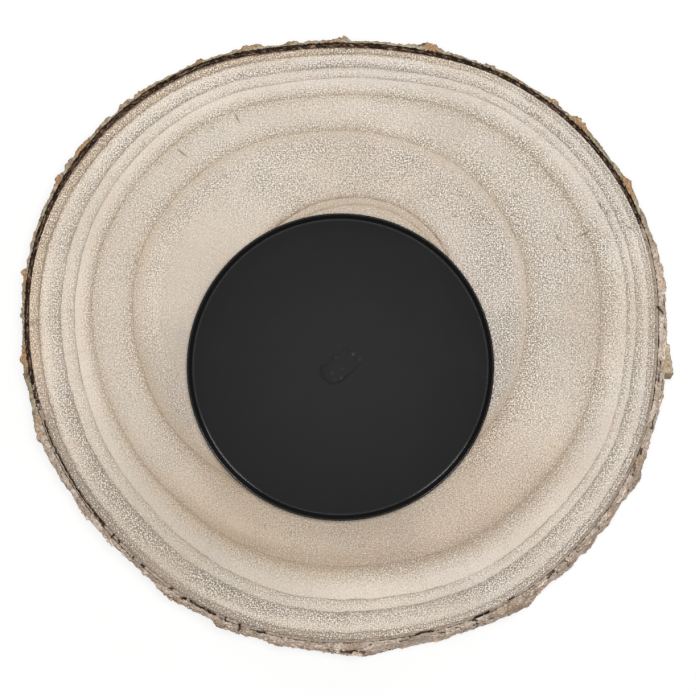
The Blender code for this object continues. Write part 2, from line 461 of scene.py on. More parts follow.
def color_setting(name, description, default):
    """A setting that is a colour."""
    return bpy.props.FloatVectorProperty(
        name=name, description=description, size=3, default=default, subtype="COLOR",
        min=0.0, max=1.0)


def count_setting(name, description, default, least):
    """A setting that is a whole number."""
    return bpy.props.IntProperty(name=name, description=description, default=default, min=least)


class WoodSettings(bpy.types.PropertyGroup):
    """Sizes and colours of the wood."""

    pith: place_setting(
        "Pith", "Middle of the growth rings, from the middle of the log", (0.00276, 0.02207))
    columns: count_setting("Columns", "Steps round the slice", 480, 48)
    groove: length_setting("Ring groove", "Depth of the growth rings in the sanded face", 0.00010)
    pale: color_setting("Pale wood", "Smooth wood just inside a ring", (0.800, 0.714, 0.622))
    brown: color_setting("Brown band", "Soft bands along the wide rings", (0.478, 0.386, 0.304))
    line: color_setting("Ring line", "Thin dark line at the end of a year", (0.270, 0.215, 0.170))
    pore: color_setting("Pores", "Open pores after a ring", (0.240, 0.190, 0.150))


class BarkSettings(bpy.types.PropertyGroup):
    """Sizes and colours of the two layers of bark."""

    columns: count_setting("Columns", "Steps round the log", 1760, 96)
    rows: count_setting("Rows", "Steps down the bark's outer wall", 24, 6)
    lumps: length_setting("Lumps", "Height of the small lumps on the outer bark", 0.0006)
    cracks: length_setting("Cracks", "Depth of the cracks between the bark's plates", 0.0009)
    crumble: length_setting("Crumble", "How far the cut edge of the bark has broken away", 0.0012)
    crumbs: count_setting("Crumbs", "Number of small chips on the outer bark", 260, 0)
    flake_angle: angle_setting("Flake angle", "Where the loose flake is, from +X", -1.5)
    flake_width: length_setting("Flake width", "Length of the loose flake round the log", 0.0135)
    flake_reach: length_setting("Flake reach", "How far the loose flake stands out", 0.0047)
    flake_thin: length_setting("Flake thin end", "How far its other end stands out", 0.0012)
    flake_low: number_setting("Flake bottom", "Its lower end, as a share of the thickness", 0.345)
    flake_high: number_setting("Flake top", "Its upper end, as a share of the thickness", 0.825)
    taupe: color_setting("Taupe", "Main colour of the outer bark", (0.560, 0.455, 0.370))
    olive: color_setting("Olive", "Dry olive skin on the outside", (0.345, 0.295, 0.200))
    dark: color_setting("Dark bark", "Inner bark and the bottoms of cracks", (0.019, 0.010, 0.006))


class DishSettings(bpy.types.PropertyGroup):
    """Sizes and colours of the dish and its pin."""

    columns: count_setting("Columns", "Steps round the dish", 240, 48)
    base: length_setting("Base diameter", "Where floor and wall would meet unbent", 0.1383)
    sheet: length_setting("Sheet", "Thickness of the steel", 0.0010)
    bend: length_setting("Bend radius", "Inner radius between floor and wall", 0.0006)
    weld: length_setting("Weld mark", "Width of the mark over the pin", 0.0170)
    weld_turn: angle_setting(
        "Weld mark turn", "Which way the mark's long side lies, from +X", 38.7)
    weld_height: length_setting("Weld mark height", "How far the mark stands up", 0.0005)
    black: color_setting("Black coating", "Colour of the coating", (0.0078, 0.0078, 0.0080))
    steel: color_setting("Pin steel", "Colour of the bare pin", (0.50, 0.50, 0.50))


class PadSettings(bpy.types.PropertyGroup):
    """Sizes and colours of the felt pads."""

    columns: count_setting("Columns", "Steps round a pad", 96, 24)
    fuzz: length_setting("Fuzz", "How uneven the felt is", 0.00022)
    felt: color_setting("Felt", "Colour of the felt", (0.200, 0.170, 0.140))


class StageSettings(bpy.types.PropertyGroup):
    """Camera, lamps and floor."""

    camera_height: length_setting("Camera height", "Camera above the wood's upper face", 1.2)
    camera_place: place_setting(
        "Camera place", "Where the camera is, from the middle of the log", (-0.00046, 0.0))
    lens: number_setting("Lens", "Focal length in millimetres", 135.3)
    sky: number_setting("Sky", "Even light from all round", 0.15)
    top_lamp: number_setting("Top lamp", "Watts of the wide lamp overhead", 16.5)
    right_lamp: number_setting("Right lamp", "Watts of the lamp behind on the right", 2.4)
    left_lamp: number_setting("Left lamp", "Watts of the lamp behind on the left", 1.6)
    floor: color_setting("Floor", "Colour of the floor under other light", (0.80, 0.80, 0.80))


# How brown the wood is, from the pith at 0 to the bark at 1
TONE_STOPS = (
    (0.00, 0.65), (0.24, 0.45), (0.315, 0.62), (0.338, 0.70), (0.352, 0.50), (0.39, 0.34),
    (0.50, 0.30), (0.57, 0.32), (0.600, 0.50), (0.620, 0.66), (0.629, 0.66), (0.640, 0.46),
    (0.70, 0.31), (0.76, 0.34), (0.788, 0.50), (0.802, 0.66), (0.810, 0.62), (0.820, 0.42),
    (0.840, 0.22), (0.876, 0.14), (0.886, 0.26), (0.908, 0.16), (0.922, 0.36), (0.940, 0.22),
    (0.958, 0.10), (0.968, 0.16), (0.976, 0.38), (0.988, 0.28), (1.00, 0.30),
)

# How open its pores are
GRAIN_STOPS = (
    (0.00, 0.50), (0.30, 0.30), (0.335, 0.20), (0.350, 0.55), (0.42, 0.58), (0.50, 0.66),
    (0.560, 0.84), (0.592, 0.55), (0.608, 0.30), (0.622, 0.30), (0.634, 0.75), (0.68, 0.50),
    (0.75, 0.42), (0.790, 0.46), (0.812, 0.66), (0.840, 0.42), (0.858, 0.18), (0.878, 0.14),
    (0.888, 0.50), (0.905, 0.22), (0.916, 0.20), (0.922, 0.85), (0.944, 0.60), (0.962, 0.28),
    (0.968, 0.28), (0.976, 0.70), (1.00, 0.52),
)

# Rings from the pith that are wide and brown, and the ring next to the bark
WIDE_RINGS = 3
LAST_RING = len(GROWTH_RINGS) - 1
# Colour of the dark lines at the wide rings
UMBER = (0.250, 0.165, 0.100)

# Dark lines where a year ends: the ring, how far off it, how far the line fades outwards, and
# how strong it is
YEAR_ENDS = (
    (5, 0.0, 0.0042, 1.00),
    (4, 0.0, 0.0046, 1.10),
    (3, 0.0, 0.0030, 1.20),
    (2, 0.0, 0.0052, 0.62),
    (1, -0.003, 0.0046, 0.66),
    (0, 0.0, 0.0060, 1.40),
    (0, -0.026, 0.0055, 0.90),
)

# Golden bands: place among the rings, width and strength
GOLDEN_BANDS = (
    (RING_PLACES[0] - 0.010, 0.045, 0.95),
    (RING_PLACES[1] + 0.004, 0.030, 0.75),
    (RING_PLACES[2] + 0.004, 0.026, 0.80),
    (0.986, 0.014, 0.55),
)

# Brown bands just past the wide rings: place among the rings, width and strength
BROWN_BANDS = (
    (RING_PLACES[0] + 0.009, 0.009, 0.45),
    (RING_PLACES[1] + 0.008, 0.010, 0.30),
    (RING_PLACES[2] + 0.008, 0.009, 0.22),
)

# Soft stains, warm, cool, reddish and grey: size and detail of their noise, where it is read, the
# range that fades them in, strength and tint
STAINS = (
    (15.0, 2.0, (0.0, 0.0, 0.0), -0.02, 0.22, 0.40, (1.0, 0.945, 0.885)),
    (24.0, 2.0, (3.0, 1.0, 0.0), 0.0, 0.22, 0.70, (0.955, 0.970, 0.985)),
    (130.0, 3.0, (5.0, 2.0, 0.0), 0.0, 0.20, 0.80, (1.020, 0.962, 0.945)),
    (170.0, 3.0, (1.0, 7.0, 0.0), 0.0, 0.20, 0.80, (0.972, 1.000, 1.018)),
)

# Hairline drying checks on the upper face: place from the middle of the log, direction in degrees
# and length
CHECKS = (
    (0.1080, 0.0525, 25.0, 0.0070),
    (-0.0766, 0.0895, 140.0, 0.0050),
    (-0.0513, 0.1055, 118.0, 0.0050),
    (0.0959, 0.0505, -62.0, 0.0036),
    (0.0991, 0.0450, -50.0, 0.0024),
    (0.1151, 0.0656, -58.0, 0.0034),
    (0.1183, 0.0619, -75.0, 0.0026),
    (0.1289, 0.0550, -40.0, 0.0026),
)

# Lighter and darker stretches of the rings: direction from the pith and half width in degrees,
# from one place among the rings to another, and the change
TONES = (
    (90.0, 14.0, 0.912, 0.934, -0.26),
    (78.0, 16.0, 0.840, 0.900, -0.07),
    (237.0, 22.0, 0.830, 0.955, -0.13),
    (0.0, 14.0, 0.900, 0.985, 0.10),
    (70.0, 14.0, 0.680, 0.790, -0.07),
    (203.0, 14.0, 0.500, 0.635, -0.14),
    (178.0, 18.0, 0.400, 0.560, -0.05),
    (178.0, 14.0, 0.560, 0.612, 0.09),
    (340.0, 14.0, 0.420, 0.610, -0.11),
    (243.0, 16.0, 0.650, 0.770, 0.12),
    (308.0, 20.0, 0.630, 0.795, 0.26),
    (90.0, 24.0, 0.400, 0.580, 0.08),
    (72.0, 12.0, 0.790, 0.815, -0.14),
    (90.0, 12.0, 0.972, 0.992, -0.28),
    (140.0, 18.0, 0.930, 0.968, 0.07),
    (20.0, 12.0, 0.620, 0.645, -0.10),
    (357.0, 12.0, 0.825, 0.895, 0.14),
    (135.0, 16.0, 0.840, 0.960, 0.04),
    (92.0, 20.0, 0.660, 0.780, 0.05),
    (188.0, 14.0, 0.830, 1.020, 0.09),
    (188.0, 12.0, 0.955, 1.020, 0.10),
    (228.0, 12.0, 0.955, 1.020, -0.12),
    (290.0, 22.0, 0.820, 0.910, 0.06),
)
# How softly such a stretch ends, among the rings
TONE_FADE = 0.012


class WoodFinish(Finish):
    """Sanded pale wood: rings, open pores after each ring, smooth wood before the next."""

    def __init__(self, settings):
        super().__init__("sanded_wood")
        self.settings = settings
        self.way = self.way_from(LOG_AXIS + Vector((*settings.pith, 0.0)))
        self.place = self.layer("ring_place")
        self.sway = self.place + self.noise(90.0, 3.0) * 0.008
        self.fray = self.noise(620.0, 2.0)
        self.ring = self.sway + self.fray * 0.010
        self.south = self.towards(273.0, 0.38, 0.97)
        self.north = self.towards(95.0, 0.35, 0.95)
        self.west = self.towards(150.0, 0.10, 0.70)
        self.east = self.towards(5.0, 0.25, 0.60)
        self.corner = self.towards(226.0, 0.80, 0.97)
        self.rim = self.past(0.965, 0.978)
        self.stripes = self.rim * self.towards(232.0, 0.66, 0.86)
        self.cream = self.rim * self.towards(38.0, 0.72, 0.95)
        self.honey = self.rim * self.towards(125.0, 0.15, 0.75)

    def towards(self, degrees, low, high):
        """1 towards a direction from the pith, 0 away from it."""
        return self.facing(self.way, degrees, low, high)

    def past(self, low, high):
        """0 before a place among the rings, 1 past the next, and smooth between them."""
        return self.step(self.ring, low, high)

    def before(self, low, high):
        """1 before a place among the rings, 0 past the next, and smooth between them."""
        return 1.0 - self.past(low, high)

    def near(self, where, width):
        """1 at a place among the rings, falling off over a width on both sides."""
        return self.bell(self.ring - where, width)

    def base(self):
        """Pale to brown from ring to ring, browner below the pith than above it."""
        dusk = self.past(0.56, 0.64) * self.before(0.80, 0.86) * self.south * 0.50
        dusk = dusk + self.towards(188.0, 0.50, 0.95) * 0.06 - self.north * 0.12
        tone = self.grade(self.ring, TONE_STOPS)
        return self.mix(tone + dusk, self.settings.pale, self.settings.brown)

    def rim_tints(self, color):
        """The last year, which is brown, striped, rosy or pale by turns, and an olive streak."""
        streak = self.near(0.924, 0.010) * self.towards(-14.0, 0.93, 0.985)
        return self.over(
            color,
            (self.rim * self.west * 0.32, (0.600, 0.435, 0.320)),
            (self.stripes * (self.past(0.976, 0.994) * 0.42 + 0.50), (0.270, 0.196, 0.145)),
            (self.rim * self.towards(192.0, 0.985, 0.997) * 0.60, (0.74, 0.53, 0.40)),
            (self.rim * self.east * 0.55, self.settings.pale),
            (streak * self.patches(150.0, 2.0, -0.15, 0.15) * 0.6, (0.50, 0.43, 0.25)),
        )

    def gild(self, color):
        """Golden bands round the rings, and a golden cast on two sides."""
        golden = self.towards(205.0, -0.20, 0.90) * 0.35
        golden = golden + self.south * self.before(0.80, 0.86) * 0.45 + self.honey * 0.55
        patchy = self.patches(28.0, 2.0, -0.20, 0.16) * 0.65 + 0.45
        for where, width, depth in GOLDEN_BANDS:
            golden = self.near(where, width) * patchy * depth + golden
        return self.shift(color, golden, (1.015, 0.972, 0.865))

    def vary(self, color):
        """Lighter and darker stretches of the rings, and soft stains."""
        for degrees, half, low, high, change in TONES:
            turn = math.radians(half)
            inside = self.past(low - TONE_FADE, low + TONE_FADE)
            inside = inside - self.past(high - TONE_FADE, high + TONE_FADE)
            share = inside * self.towards(degrees, math.cos(turn * 1.5), math.cos(turn * 0.4))
            color = self.shift(color, 1.0, share * change + 1.0)
        for scale, detail, away, low, high, strength, cast in STAINS:
            spot = self.vector("ADD", self.spot, away)
            stain = self.step(self.noise(scale, detail, spot), low, high)
            color = self.shift(color, stain * strength, cast)
        return color

    def line_rim(self, color):
        """A cream stretch of the last year, and fine lines along its stripes."""
        color = self.mix(self.cream * 0.45, color, (0.800, 0.735, 0.630))
        turned = self.vector("MULTIPLY", self.way, (14.0, 14.0, 0.0))
        streaks = self.noise(1.0, 2.0, self.lifted(turned, self.place * 300.0), 0.6)
        return self.shift(color, 1.0, streaks * self.stripes * 0.9 + 1.0)

    def grain(self):
        """How open the wood is, from ring to ring and from side to side."""
        grain = self.grade(self.ring, GRAIN_STOPS)
        for change in (
            self.towards(20.0, 0.55, 0.95) * self.past(0.62, 0.66) * 0.30,
            self.corner * self.past(0.900, 0.925) * 0.55,
            self.towards(235.2, -0.30, 0.90) * self.before(0.86, 0.90) * -0.30,
            self.towards(188.0, 0.45, 0.85) * self.before(0.53, 0.60) * -0.75,
            self.patches(55.0, 3.0, -0.25, 0.20) * 0.60 - 0.35,
            self.rim * 0.35 - self.cream * 0.45 - self.stripes * 0.45,
            self.north * self.near(0.715, 0.060) * -0.30,
            self.towards(2.0, 0.90, 0.98) * self.near(0.870, 0.030) * 1.2,
        ):
            grain = grain * (change + 1.0)
        return grain

    def year_ends(self):
        """The dark lines where a year ends: how strong each is, and its colour."""
        line = self.settings.line
        ends = []
        for ring, shift, fade, depth in YEAR_ENDS:
            where = RING_PLACES[ring] + shift
            beyond = self.sway + self.fray * 0.003 - where
            tail = self.math("EXPONENT", -(self.math("MAXIMUM", beyond, 0.0) / fade))
            uneven = self.noise(5.0, 3.0, self.vector("ADD", self.way, (where * 90.0, 0.0, 0.0)))
            strength = self.step(uneven, -0.22, 0.14) * (depth * 0.6) + depth * 0.5
            if ring == LAST_RING:
                strength = strength * (self.west * 0.6 + 1.0)
            mark = self.step(beyond, -0.0014, 0.0008) * tail * strength
            ends.append((mark, UMBER if ring < WIDE_RINGS else line))
        ends.append((self.near(0.989, 0.0030) * self.east * 0.75, line))
        return ends

    def checks(self, color):
        """Hairline drying checks."""
        for x, y, degrees, reach in CHECKS:
            turned = self.node(
                "ShaderNodeMapping",
                {"vector_type": "TEXTURE"},
                {"Vector": self.spot, "Location": LOG_AXIS + Vector((x, y, 0.0)),
                 "Rotation": (0.0, 0.0, math.radians(degrees))},
            )
            along, across = (
                self.node("ShaderNodeSeparateXYZ", None, {0: turned}, axis) for axis in "XY")
            thin = self.bell(across + self.noise(200.0, 1.0) * 0.0006, 0.00042)
            thin = thin * self.bell(along, reach / 2)
            color = self.mix(thin * 0.9, color, (0.190, 0.130, 0.085))
        return color

    def paint(self):
        """Lay all of it on and return the finished material."""
        settings = self.settings
        color = self.line_rim(self.vary(self.gild(self.rim_tints(self.base()))))
        for where, width, depth in BROWN_BANDS:
            color = self.mix(self.near(where, width) * depth, color, (0.500, 0.365, 0.245))

        grain = self.grain()
        level_spot = self.vector("MULTIPLY", self.spot, (860.0, 860.0, 0.0))
        waves = self.noise(1.0, 1.0, self.lifted(level_spot, self.place * 290.0))
        speck = self.noise(1650.0, 0.0, flat=True) + waves * 0.65
        rough_grain = speck * (grain * 2.0 + 0.15)
        plain = self.south * self.before(0.80, 0.84) * 0.40 + self.corner * 0.40
        raised = self.math("MAXIMUM", rough_grain * 2.4, 0.0) * (1.0 - plain)
        sunk = self.math("MAXIMUM", -rough_grain * 2.2, 0.0)
        pores = 1.0 - self.step(self.cells(1050.0, 0.75), 0.10, 0.46)
        dots = pores * grain * (self.south * 0.35 + 1.1)
        deep = self.patches(330.0, 1.0, 0.20, 0.27) * grain
        color = self.over(
            color,
            (raised, (0.955, 0.905, 0.830)),
            (sunk, (0.330, 0.265, 0.205)),
            (dots * 0.90, settings.pore),
            (deep * 0.75, settings.pore),
        )

        height = speck * grain * 0.5 - dots
        broken = self.patches(420.0, 2.0, -0.22, 0.10) * 0.40 + 0.40 + pores * 0.35
        for mark, ink in self.year_ends():
            color = self.mix(mark * broken, color, ink)
            height = height - mark * 0.5
        rays = self.step(self.noise(46.0, 3.0, self.way), 0.02, 0.30)
        clouds = self.patches(17.0, 3.0, -0.02, 0.25)
        color = self.over(color, (rays * 0.26, settings.brown), (clouds * 0.26, settings.brown))
        color = self.checks(color)
        brink = self.past(0.992, 0.998) * self.towards(115.0, 0.60, 0.90)
        color = self.mix(brink * 0.75, color, (0.045, 0.024, 0.016))
        color = self.shift(color, self.honey * 0.80, (1.03, 0.975, 0.90))
        rough = 0.72 + dots * 0.15 + speck * 0.08
        return self.coat(color, rough, height, 0.35, 0.0004, 0.30)


def ring_share(place, angle):
    """Where a place among the rings lies at an angle, as a share of the way to the edge."""
    marks = [(0.0, 0.0)]
    marks += [(mark, around(ring, angle)) for mark, ring in zip(RING_PLACES, GROWTH_RINGS)]
    marks.append((1.0, 1.0))
    for (low, low_share), (high, high_share) in zip(marks, marks[1:]):
        if place <= high:
            return blend(low_share, high_share, (place - low) / (high - low))
    return 1.0


# Broken edge of the slice: place from the pith, and depth as a share of the thickness
EDGE_BREAK = ((0.9972, 0.0), (0.9992, 0.006), (1.0, 0.018))
# The upper face is sanded up to this place: how uneven that leaves it, and half the width of the
# grooves of its narrow rings
SANDED_TO = 0.996
SANDED_UNEVEN = 0.00004
GROOVE_HALF = 0.003
# Depth of the small nicks in the edge, and how far the rings stray from their smooth curves
NICKS = 0.00012
STRAY = 0.004


class CANDLEPLATE_OT_wood(bpy.types.Operator):
    """Make the wood of the slice, with its rings and the bore for the dish's pin"""

    bl_idname = "candle_plate.wood"
    bl_label = "Wood"

    def execute(self, context):
        settings = context.scene.candle_plate_wood
        log = Log()
        pith = LOG_AXIS + Vector((*settings.pith, 0.0))
        edges = self.edges(log, pith, settings.columns)
        bm = spun(self.section(), settings.columns, 1e-5)
        layer = bm.verts.layers.float.new("ring_place")
        for vert in bm.verts:
            place, level = vert.co.xy.length, vert.co.z
            angle = math.atan2(vert.co.y, vert.co.x)
            share = ring_share(min(place, 1.0), angle) + self.wave(place, angle)
            radius = share * edges[column_at(angle, settings.columns)]
            z = log.height(level)
            vert.co = pith + log.shift(z) + heading(angle) * radius
            vert.co.z = z
            vert[layer] = place
            if level == 1.0 and place < SANDED_TO:
                depth = sum(
                    math.exp(-((place - mark) / GROOVE_HALF) ** 2)
                    for mark in RING_PLACES[WIDE_RINGS:])
                uneven = SANDED_UNEVEN * noise.noise(vert.co * 140.0)
                vert.co.z -= settings.groove * depth - uneven + SANDED_UNEVEN
        material = WoodFinish(settings).paint()
        piece = add_piece("slice_wood", bm, material, ["wood_slice"])
        self.bore(piece)
        return {"FINISHED"}

    @staticmethod
    def section():
        """Half section of a plain slice, 1 wide and 1 thick, with fine steps at the rings."""
        upper_steps, lower_steps, beside = 96, 24, 0.004
        upper = {k / upper_steps for k in range(1, upper_steps)}
        for mark in RING_PLACES:
            upper |= {mark - beside, mark, mark + beside}
        section = [(0.0, 1.0)] + [(place, 1.0) for place in sorted(upper)]
        section += [(place, 1.0 - depth) for place, depth in EDGE_BREAK]
        section += [(1.0, level) for level in (0.75, 0.5, 0.25)]
        section += reversed(EDGE_BREAK)
        return section + [(k / lower_steps, 0.0) for k in reversed(range(lower_steps))]

    @staticmethod
    def edges(log, pith, columns):
        """Radii of the packed wood from the pith, with small nicks."""
        height = log.height(SCAN_LEVEL)
        start = pith + log.shift(height)
        start.z = height
        radii = []
        for k in range(columns):
            angle = math.tau * k / columns
            nick = NICKS * noise.noise(Vector((angle * 60.0, 3.0, 7.0)))
            radii.append(log.reach("wood_slice", start, angle) + nick)
        return radii

    @staticmethod
    def wave(place, angle):
        """How far the rings stray from their smooth curves, as a share of the radius."""
        if not 0.02 < place < 0.995:
            return 0.0
        stray = noise.noise(heading(angle) * 2.5 + Vector((0.0, 0.0, place * 9.0)))
        return STRAY * stray * min(1.0, (1.0 - place) / 0.05)

    def bore(self, piece):
        """Cut the blind bore round the packed pin."""
        low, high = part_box("dish_pin")
        middle = (low + high) / 2
        gap = 0.0003
        radius = (high.x - low.x) / 2 + gap
        bm = bmesh.new()
        bmesh.ops.create_cone(
            bm, cap_ends=True, segments=48, radius1=radius, radius2=radius,
            depth=2 * (high.z - low.z + gap))
        bmesh.ops.translate(bm, verts=bm.verts, vec=(middle.x, middle.y, high.z))
        cutter = add_object("bore_cutter", bm)
        modifier = piece.modifiers.new("bore", "BOOLEAN")
        modifier.operation = "DIFFERENCE"
        modifier.object = cutter
        graph = bpy.context.evaluated_depsgraph_get()
        bored = bpy.data.meshes.new_from_object(piece.evaluated_get(graph), depsgraph=graph)
        piece.modifiers.clear()
        piece.data = bored
        bpy.data.objects.remove(cutter, do_unlink=True)


def inner_bark_finish(settings):
    """Dark, torn inner bark in thin layers, with paler fibres between them."""
    f = Finish("torn_inner_bark")
    across = f.layer("across")
    torn = f.noise(820.0, 3.0, roughness=0.7)
    fibres = f.noise(1.0, 2.0, f.along_bark(across, 400.0, 2.8), 0.6)
    black = f.over(
        settings.dark,
        (f.patches(330.0, 2.0, 0.0, 0.15), (0.090, 0.045, 0.028)),
        (f.step(fibres, 0.05, 0.14) * 0.72, (0.43, 0.29, 0.19)),
    )
    seam = f.bell(across + torn * 0.7 - 0.45, 0.22) * f.patches(260.0, 2.0, -0.10, 0.10)
    dry = f.over(
        settings.taupe,
        (f.step(torn, -0.15, 0.2), (0.36, 0.275, 0.210)),
        (f.patches(1000.0, 1.0, 0.03, 0.2) * 0.75, (0.62, 0.53, 0.45)),
        (seam * 0.45, (0.110, 0.075, 0.055)),
    )
    color = f.mix(f.step(f.layer("dark") + torn * 1.5, 0.36, 0.54), dry, black)
    return f.coat(color, 0.9, torn + fibres, 0.7, 0.0008, 0.2)


def outer_bark_finish(settings):
    """Dry outer bark: taupe plates on the leaning side, whose outer wall is painted lighter as
    painted light, thin olive and rusty skin on the other, and cracks painted dark as darker bark
    with painted shade.
    """
    f = Finish("dry_outer_bark")
    across, plate, shade, bump = (f.layer(name) for name in ("across", "plate", "shade", "bump"))
    uneven = f.noise(170.0, 3.0)
    torn = f.noise(760.0, 3.0, roughness=0.7)
    speck = f.noise(950.0, 2.0, roughness=0.65)
    thick = f.over(
        settings.taupe,
        (f.step(plate + uneven * 0.9, 0.30, 0.75), (0.655, 0.545, 0.455)),
        (f.step(0.62 - plate - uneven, 0.05, 0.45) * 0.6, (0.36, 0.275, 0.215)),
        (f.patches(130.0, 3.0, 0.04, 0.20) * 0.70, settings.olive),
    )
    skin = f.over(
        settings.olive,
        (f.patches(150.0, 3.0, -0.08, 0.10), (0.42, 0.38, 0.295)),
        (f.patches(240.0, 3.0, 0.04, 0.16) * 0.75, (0.115, 0.078, 0.052)),
        (f.step(bump + uneven * 1.6, 0.15, 0.65) * 0.85, (0.400, 0.248, 0.138)),
    )
    skin = f.shift(skin, 1.0, (1.10, 1.03, 0.94))
    color = f.mix(shade, thick, skin)
    # Painted light: the outer wall on the leaning side is painted lighter. This stands in for the
    # light from the lamp overhead, which reaches its upright face only at a slant.
    side = f.step(across, 0.96, 1.0) * (1.0 - shade)
    color = f.shift(color, side, (1.36, 1.31, 1.26))
    tips = f.step(bump + uneven * 1.4, 0.40, 1.00) * (1.0 - shade)
    color = f.mix(tips * 0.55, color, (0.400, 0.265, 0.165))
    color = f.shift(color, 1.0, 1.0 + speck * 2.3)

    fibres = f.noise(1.0, 2.0, f.along_bark(across, 400.0, 4.0), 0.6)
    black = f.mix(f.step(fibres, 0.06, 0.15) * 0.72, settings.dark, (0.40, 0.265, 0.165))
    hollow = f.mix(shade, (0.040, 0.027, 0.019), (0.115, 0.082, 0.056))
    color = f.over(
        color,
        (f.patches(1100.0, 1.0, 0.08, 0.20) * 0.35, (0.74, 0.64, 0.54)),
        (f.patches(700.0, 2.0, 0.12, 0.19) * 0.60, (0.060, 0.042, 0.032)),
        (f.patches(270.0, 2.0, 0.14, 0.20) * 0.5, (0.46, 0.265, 0.150)),
        (f.step(f.layer("dark") * 0.17 - across + torn * 1.2, -0.05, 0.05), black),
        # Cracks and pits: darker bark at their bottoms, with painted shade in their hollows
        (f.step(f.layer("crack") + speck * 0.6, 0.36, 0.62) * 0.92, hollow),
    )
    height = speck * 0.8 + f.noise(1700.0, 2.0) * 0.4 + uneven
    return f.coat(color, 0.88, height, 0.6, 0.0007, 0.2)


# Cracks and pits in the bark on the side that the trunk leans to: half width in millimetres, and
# the places that each one runs through, in degrees counter-clockwise from +X and millimetres from
# the middle of the log. The places are as seen from above, at the level of the upper face.
CRACKS = (
    (0.32, ((193.5, 143.8), (197.0, 143.2), (202.0, 141.6), (208.0, 140.4), (212.5, 139.2))),
    (0.62, ((213.0, 139.0), (215.8, 138.5))),
    (0.34, ((218.4, 137.6), (218.6, 139.7))),
    (0.40, ((219.8, 137.8), (220.3, 137.8))),
    (0.30, ((224.1, 137.5), (224.3, 138.6))),
    (0.50, ((226.3, 137.7), (226.8, 137.6))),
    (0.36, ((233.3, 137.2), (233.8, 137.0))),
    (0.50, ((236.2, 138.0), (236.9, 137.2))),
    (0.46, ((238.0, 136.6), (239.5, 137.3), (241.0, 136.7), (243.3, 136.8))),
    (0.26, ((245.4, 135.9), (245.6, 137.8))),
    (0.52, ((248.4, 136.4), (248.7, 138.2))),
    (0.46, ((252.0, 136.9), (253.5, 136.1))),
    (0.60, ((266.0, 139.1), (269.0, 139.6), (274.0, 140.1))),
    (0.28, ((269.0, 140.9), (273.2, 141.0))),
    (0.38, ((274.0, 136.7), (274.3, 136.6))),
    (0.44, ((279.8, 136.8), (281.5, 137.1))),
    (0.28, ((281.9, 135.2), (282.0, 136.4))),
    (0.40, ((283.0, 135.2), (284.5, 134.8), (286.5, 135.4))),
    (0.46, ((287.6, 137.5), (288.6, 137.9))),
    (0.24, ((290.8, 137.3), (292.0, 138.6))),
    (0.56, ((294.5, 137.5), (295.0, 136.6), (296.5, 136.8))),
    (0.34, ((294.9, 137.0), (295.1, 138.6))),
    (0.44, ((297.0, 136.8), (298.0, 137.0))),
    (0.30, ((302.4, 137.0), (303.6, 137.0))),
    (0.54, ((310.8, 139.6), (312.6, 139.0))),
    (0.28, ((315.3, 138.8), (315.8, 141.4))),
    (0.34, ((335.2, 144.2), (336.6, 142.6), (338.0, 141.6))),
    (0.44, ((340.0, 142.4), (340.9, 142.0))),
    (0.26, ((352.5, 143.6), (354.5, 142.6), (356.0, 143.4), (358.0, 142.8))),
    (0.46, ((6.2, 144.9), (7.6, 143.0))),
)
# How far above the upper face the cracks' places are seen from
SEEN_FROM = 1.2
# Directions in degrees between which the bark has none of these cracks
NO_CRACKS = (20.0, 190.0)


def crack_depth(spot):
    """1 in the middle of a crack of the bark, 0 away from them."""
    away = spot - LOG_AXIS
    turn = math.degrees(math.atan2(away.y, away.x)) % 360.0
    if NO_CRACKS[0] < turn < NO_CRACKS[1]:
        return 0.0
    below = WOOD_BOX[1].z - spot.z
    radius = away.xy.length * 1000.0 * SEEN_FROM / (SEEN_FROM + below)
    radius += 0.5 * noise.noise(Vector((turn * 1.3, 2.0, 5.0)))
    depth = 0.0
    for half, places in CRACKS:
        if not places[0][0] - 1.0 < turn < places[-1][0] + 1.0:
            continue
        for (turn_1, radius_1), (turn_2, radius_2) in zip(places, places[1:]):
            length = Vector((math.radians(turn_2 - turn_1) * radius, radius_2 - radius_1))
            reach = Vector((math.radians(turn - turn_1) * radius, radius - radius_1))
            share = min(max(reach.dot(length) / length.length_squared, 0.0), 1.0)
            gap = (reach - length * share).length
            depth = max(depth, 1.0 - smooth(gap, 0.5 * half, 1.35 * half))
    return depth


def dark_share(angle):
    """How dark the inner bark is: all dark behind, dry on the leaning side."""
    return 1.0 - smooth(abs(degrees_from(angle, 106.0)), 74.0, 92.0)


# Knobs of old bark left on the upper edge: angle and half width in degrees, and height
KNOBS = (
    (75.5, 2.0, 0.0014), (78.5, 0.8, 0.0008), (91.0, 1.1, 0.0015), (100.5, 1.3, 0.0013),
    (107.0, 1.0, 0.0012), (109.0, 0.7, 0.0014), (117.5, 1.2, 0.0011), (129.5, 0.9, 0.0008),
    (132.5, 1.4, 0.0011), (137.0, 1.2, 0.0010), (146.5, 1.0, 0.0011), (149.5, 0.9, 0.0012),
    (166.8, 0.6, 0.0014), (182.0, 0.5, 0.0010), (185.0, 1.0, 0.0008), (196.0, 0.7, 0.0012),
    (31.0, 0.9, 0.0006), (44.5, 1.3, 0.0007), (50.2, 0.8, 0.0008), (14.5, 0.8, 0.0008),
    (233.0, 1.0, 0.0010), (244.2, 0.8, 0.0009), (248.0, 0.6, 0.0012), (256.0, 0.7, 0.0010),
)


def knob_height(angle, level):
    """How far the knobs stand out at an angle and a level."""
    height = 0.0
    for middle, width, rise in KNOBS:
        across = degrees_from(angle, middle) / width
        if abs(across) < 2.0:
            foot = 0.62 + 0.12 * math.sin(middle)
            height += rise * math.exp(-across ** 4) * smooth(level, foot, foot + 0.14)
    return height


def skin_share(angle):
    """1 where the outer bark is only a thin skin, behind, and 0 where it is thick."""
    return 1.0 - smooth(abs(degrees_from(angle, 107.0)), 78.0, 100.0)


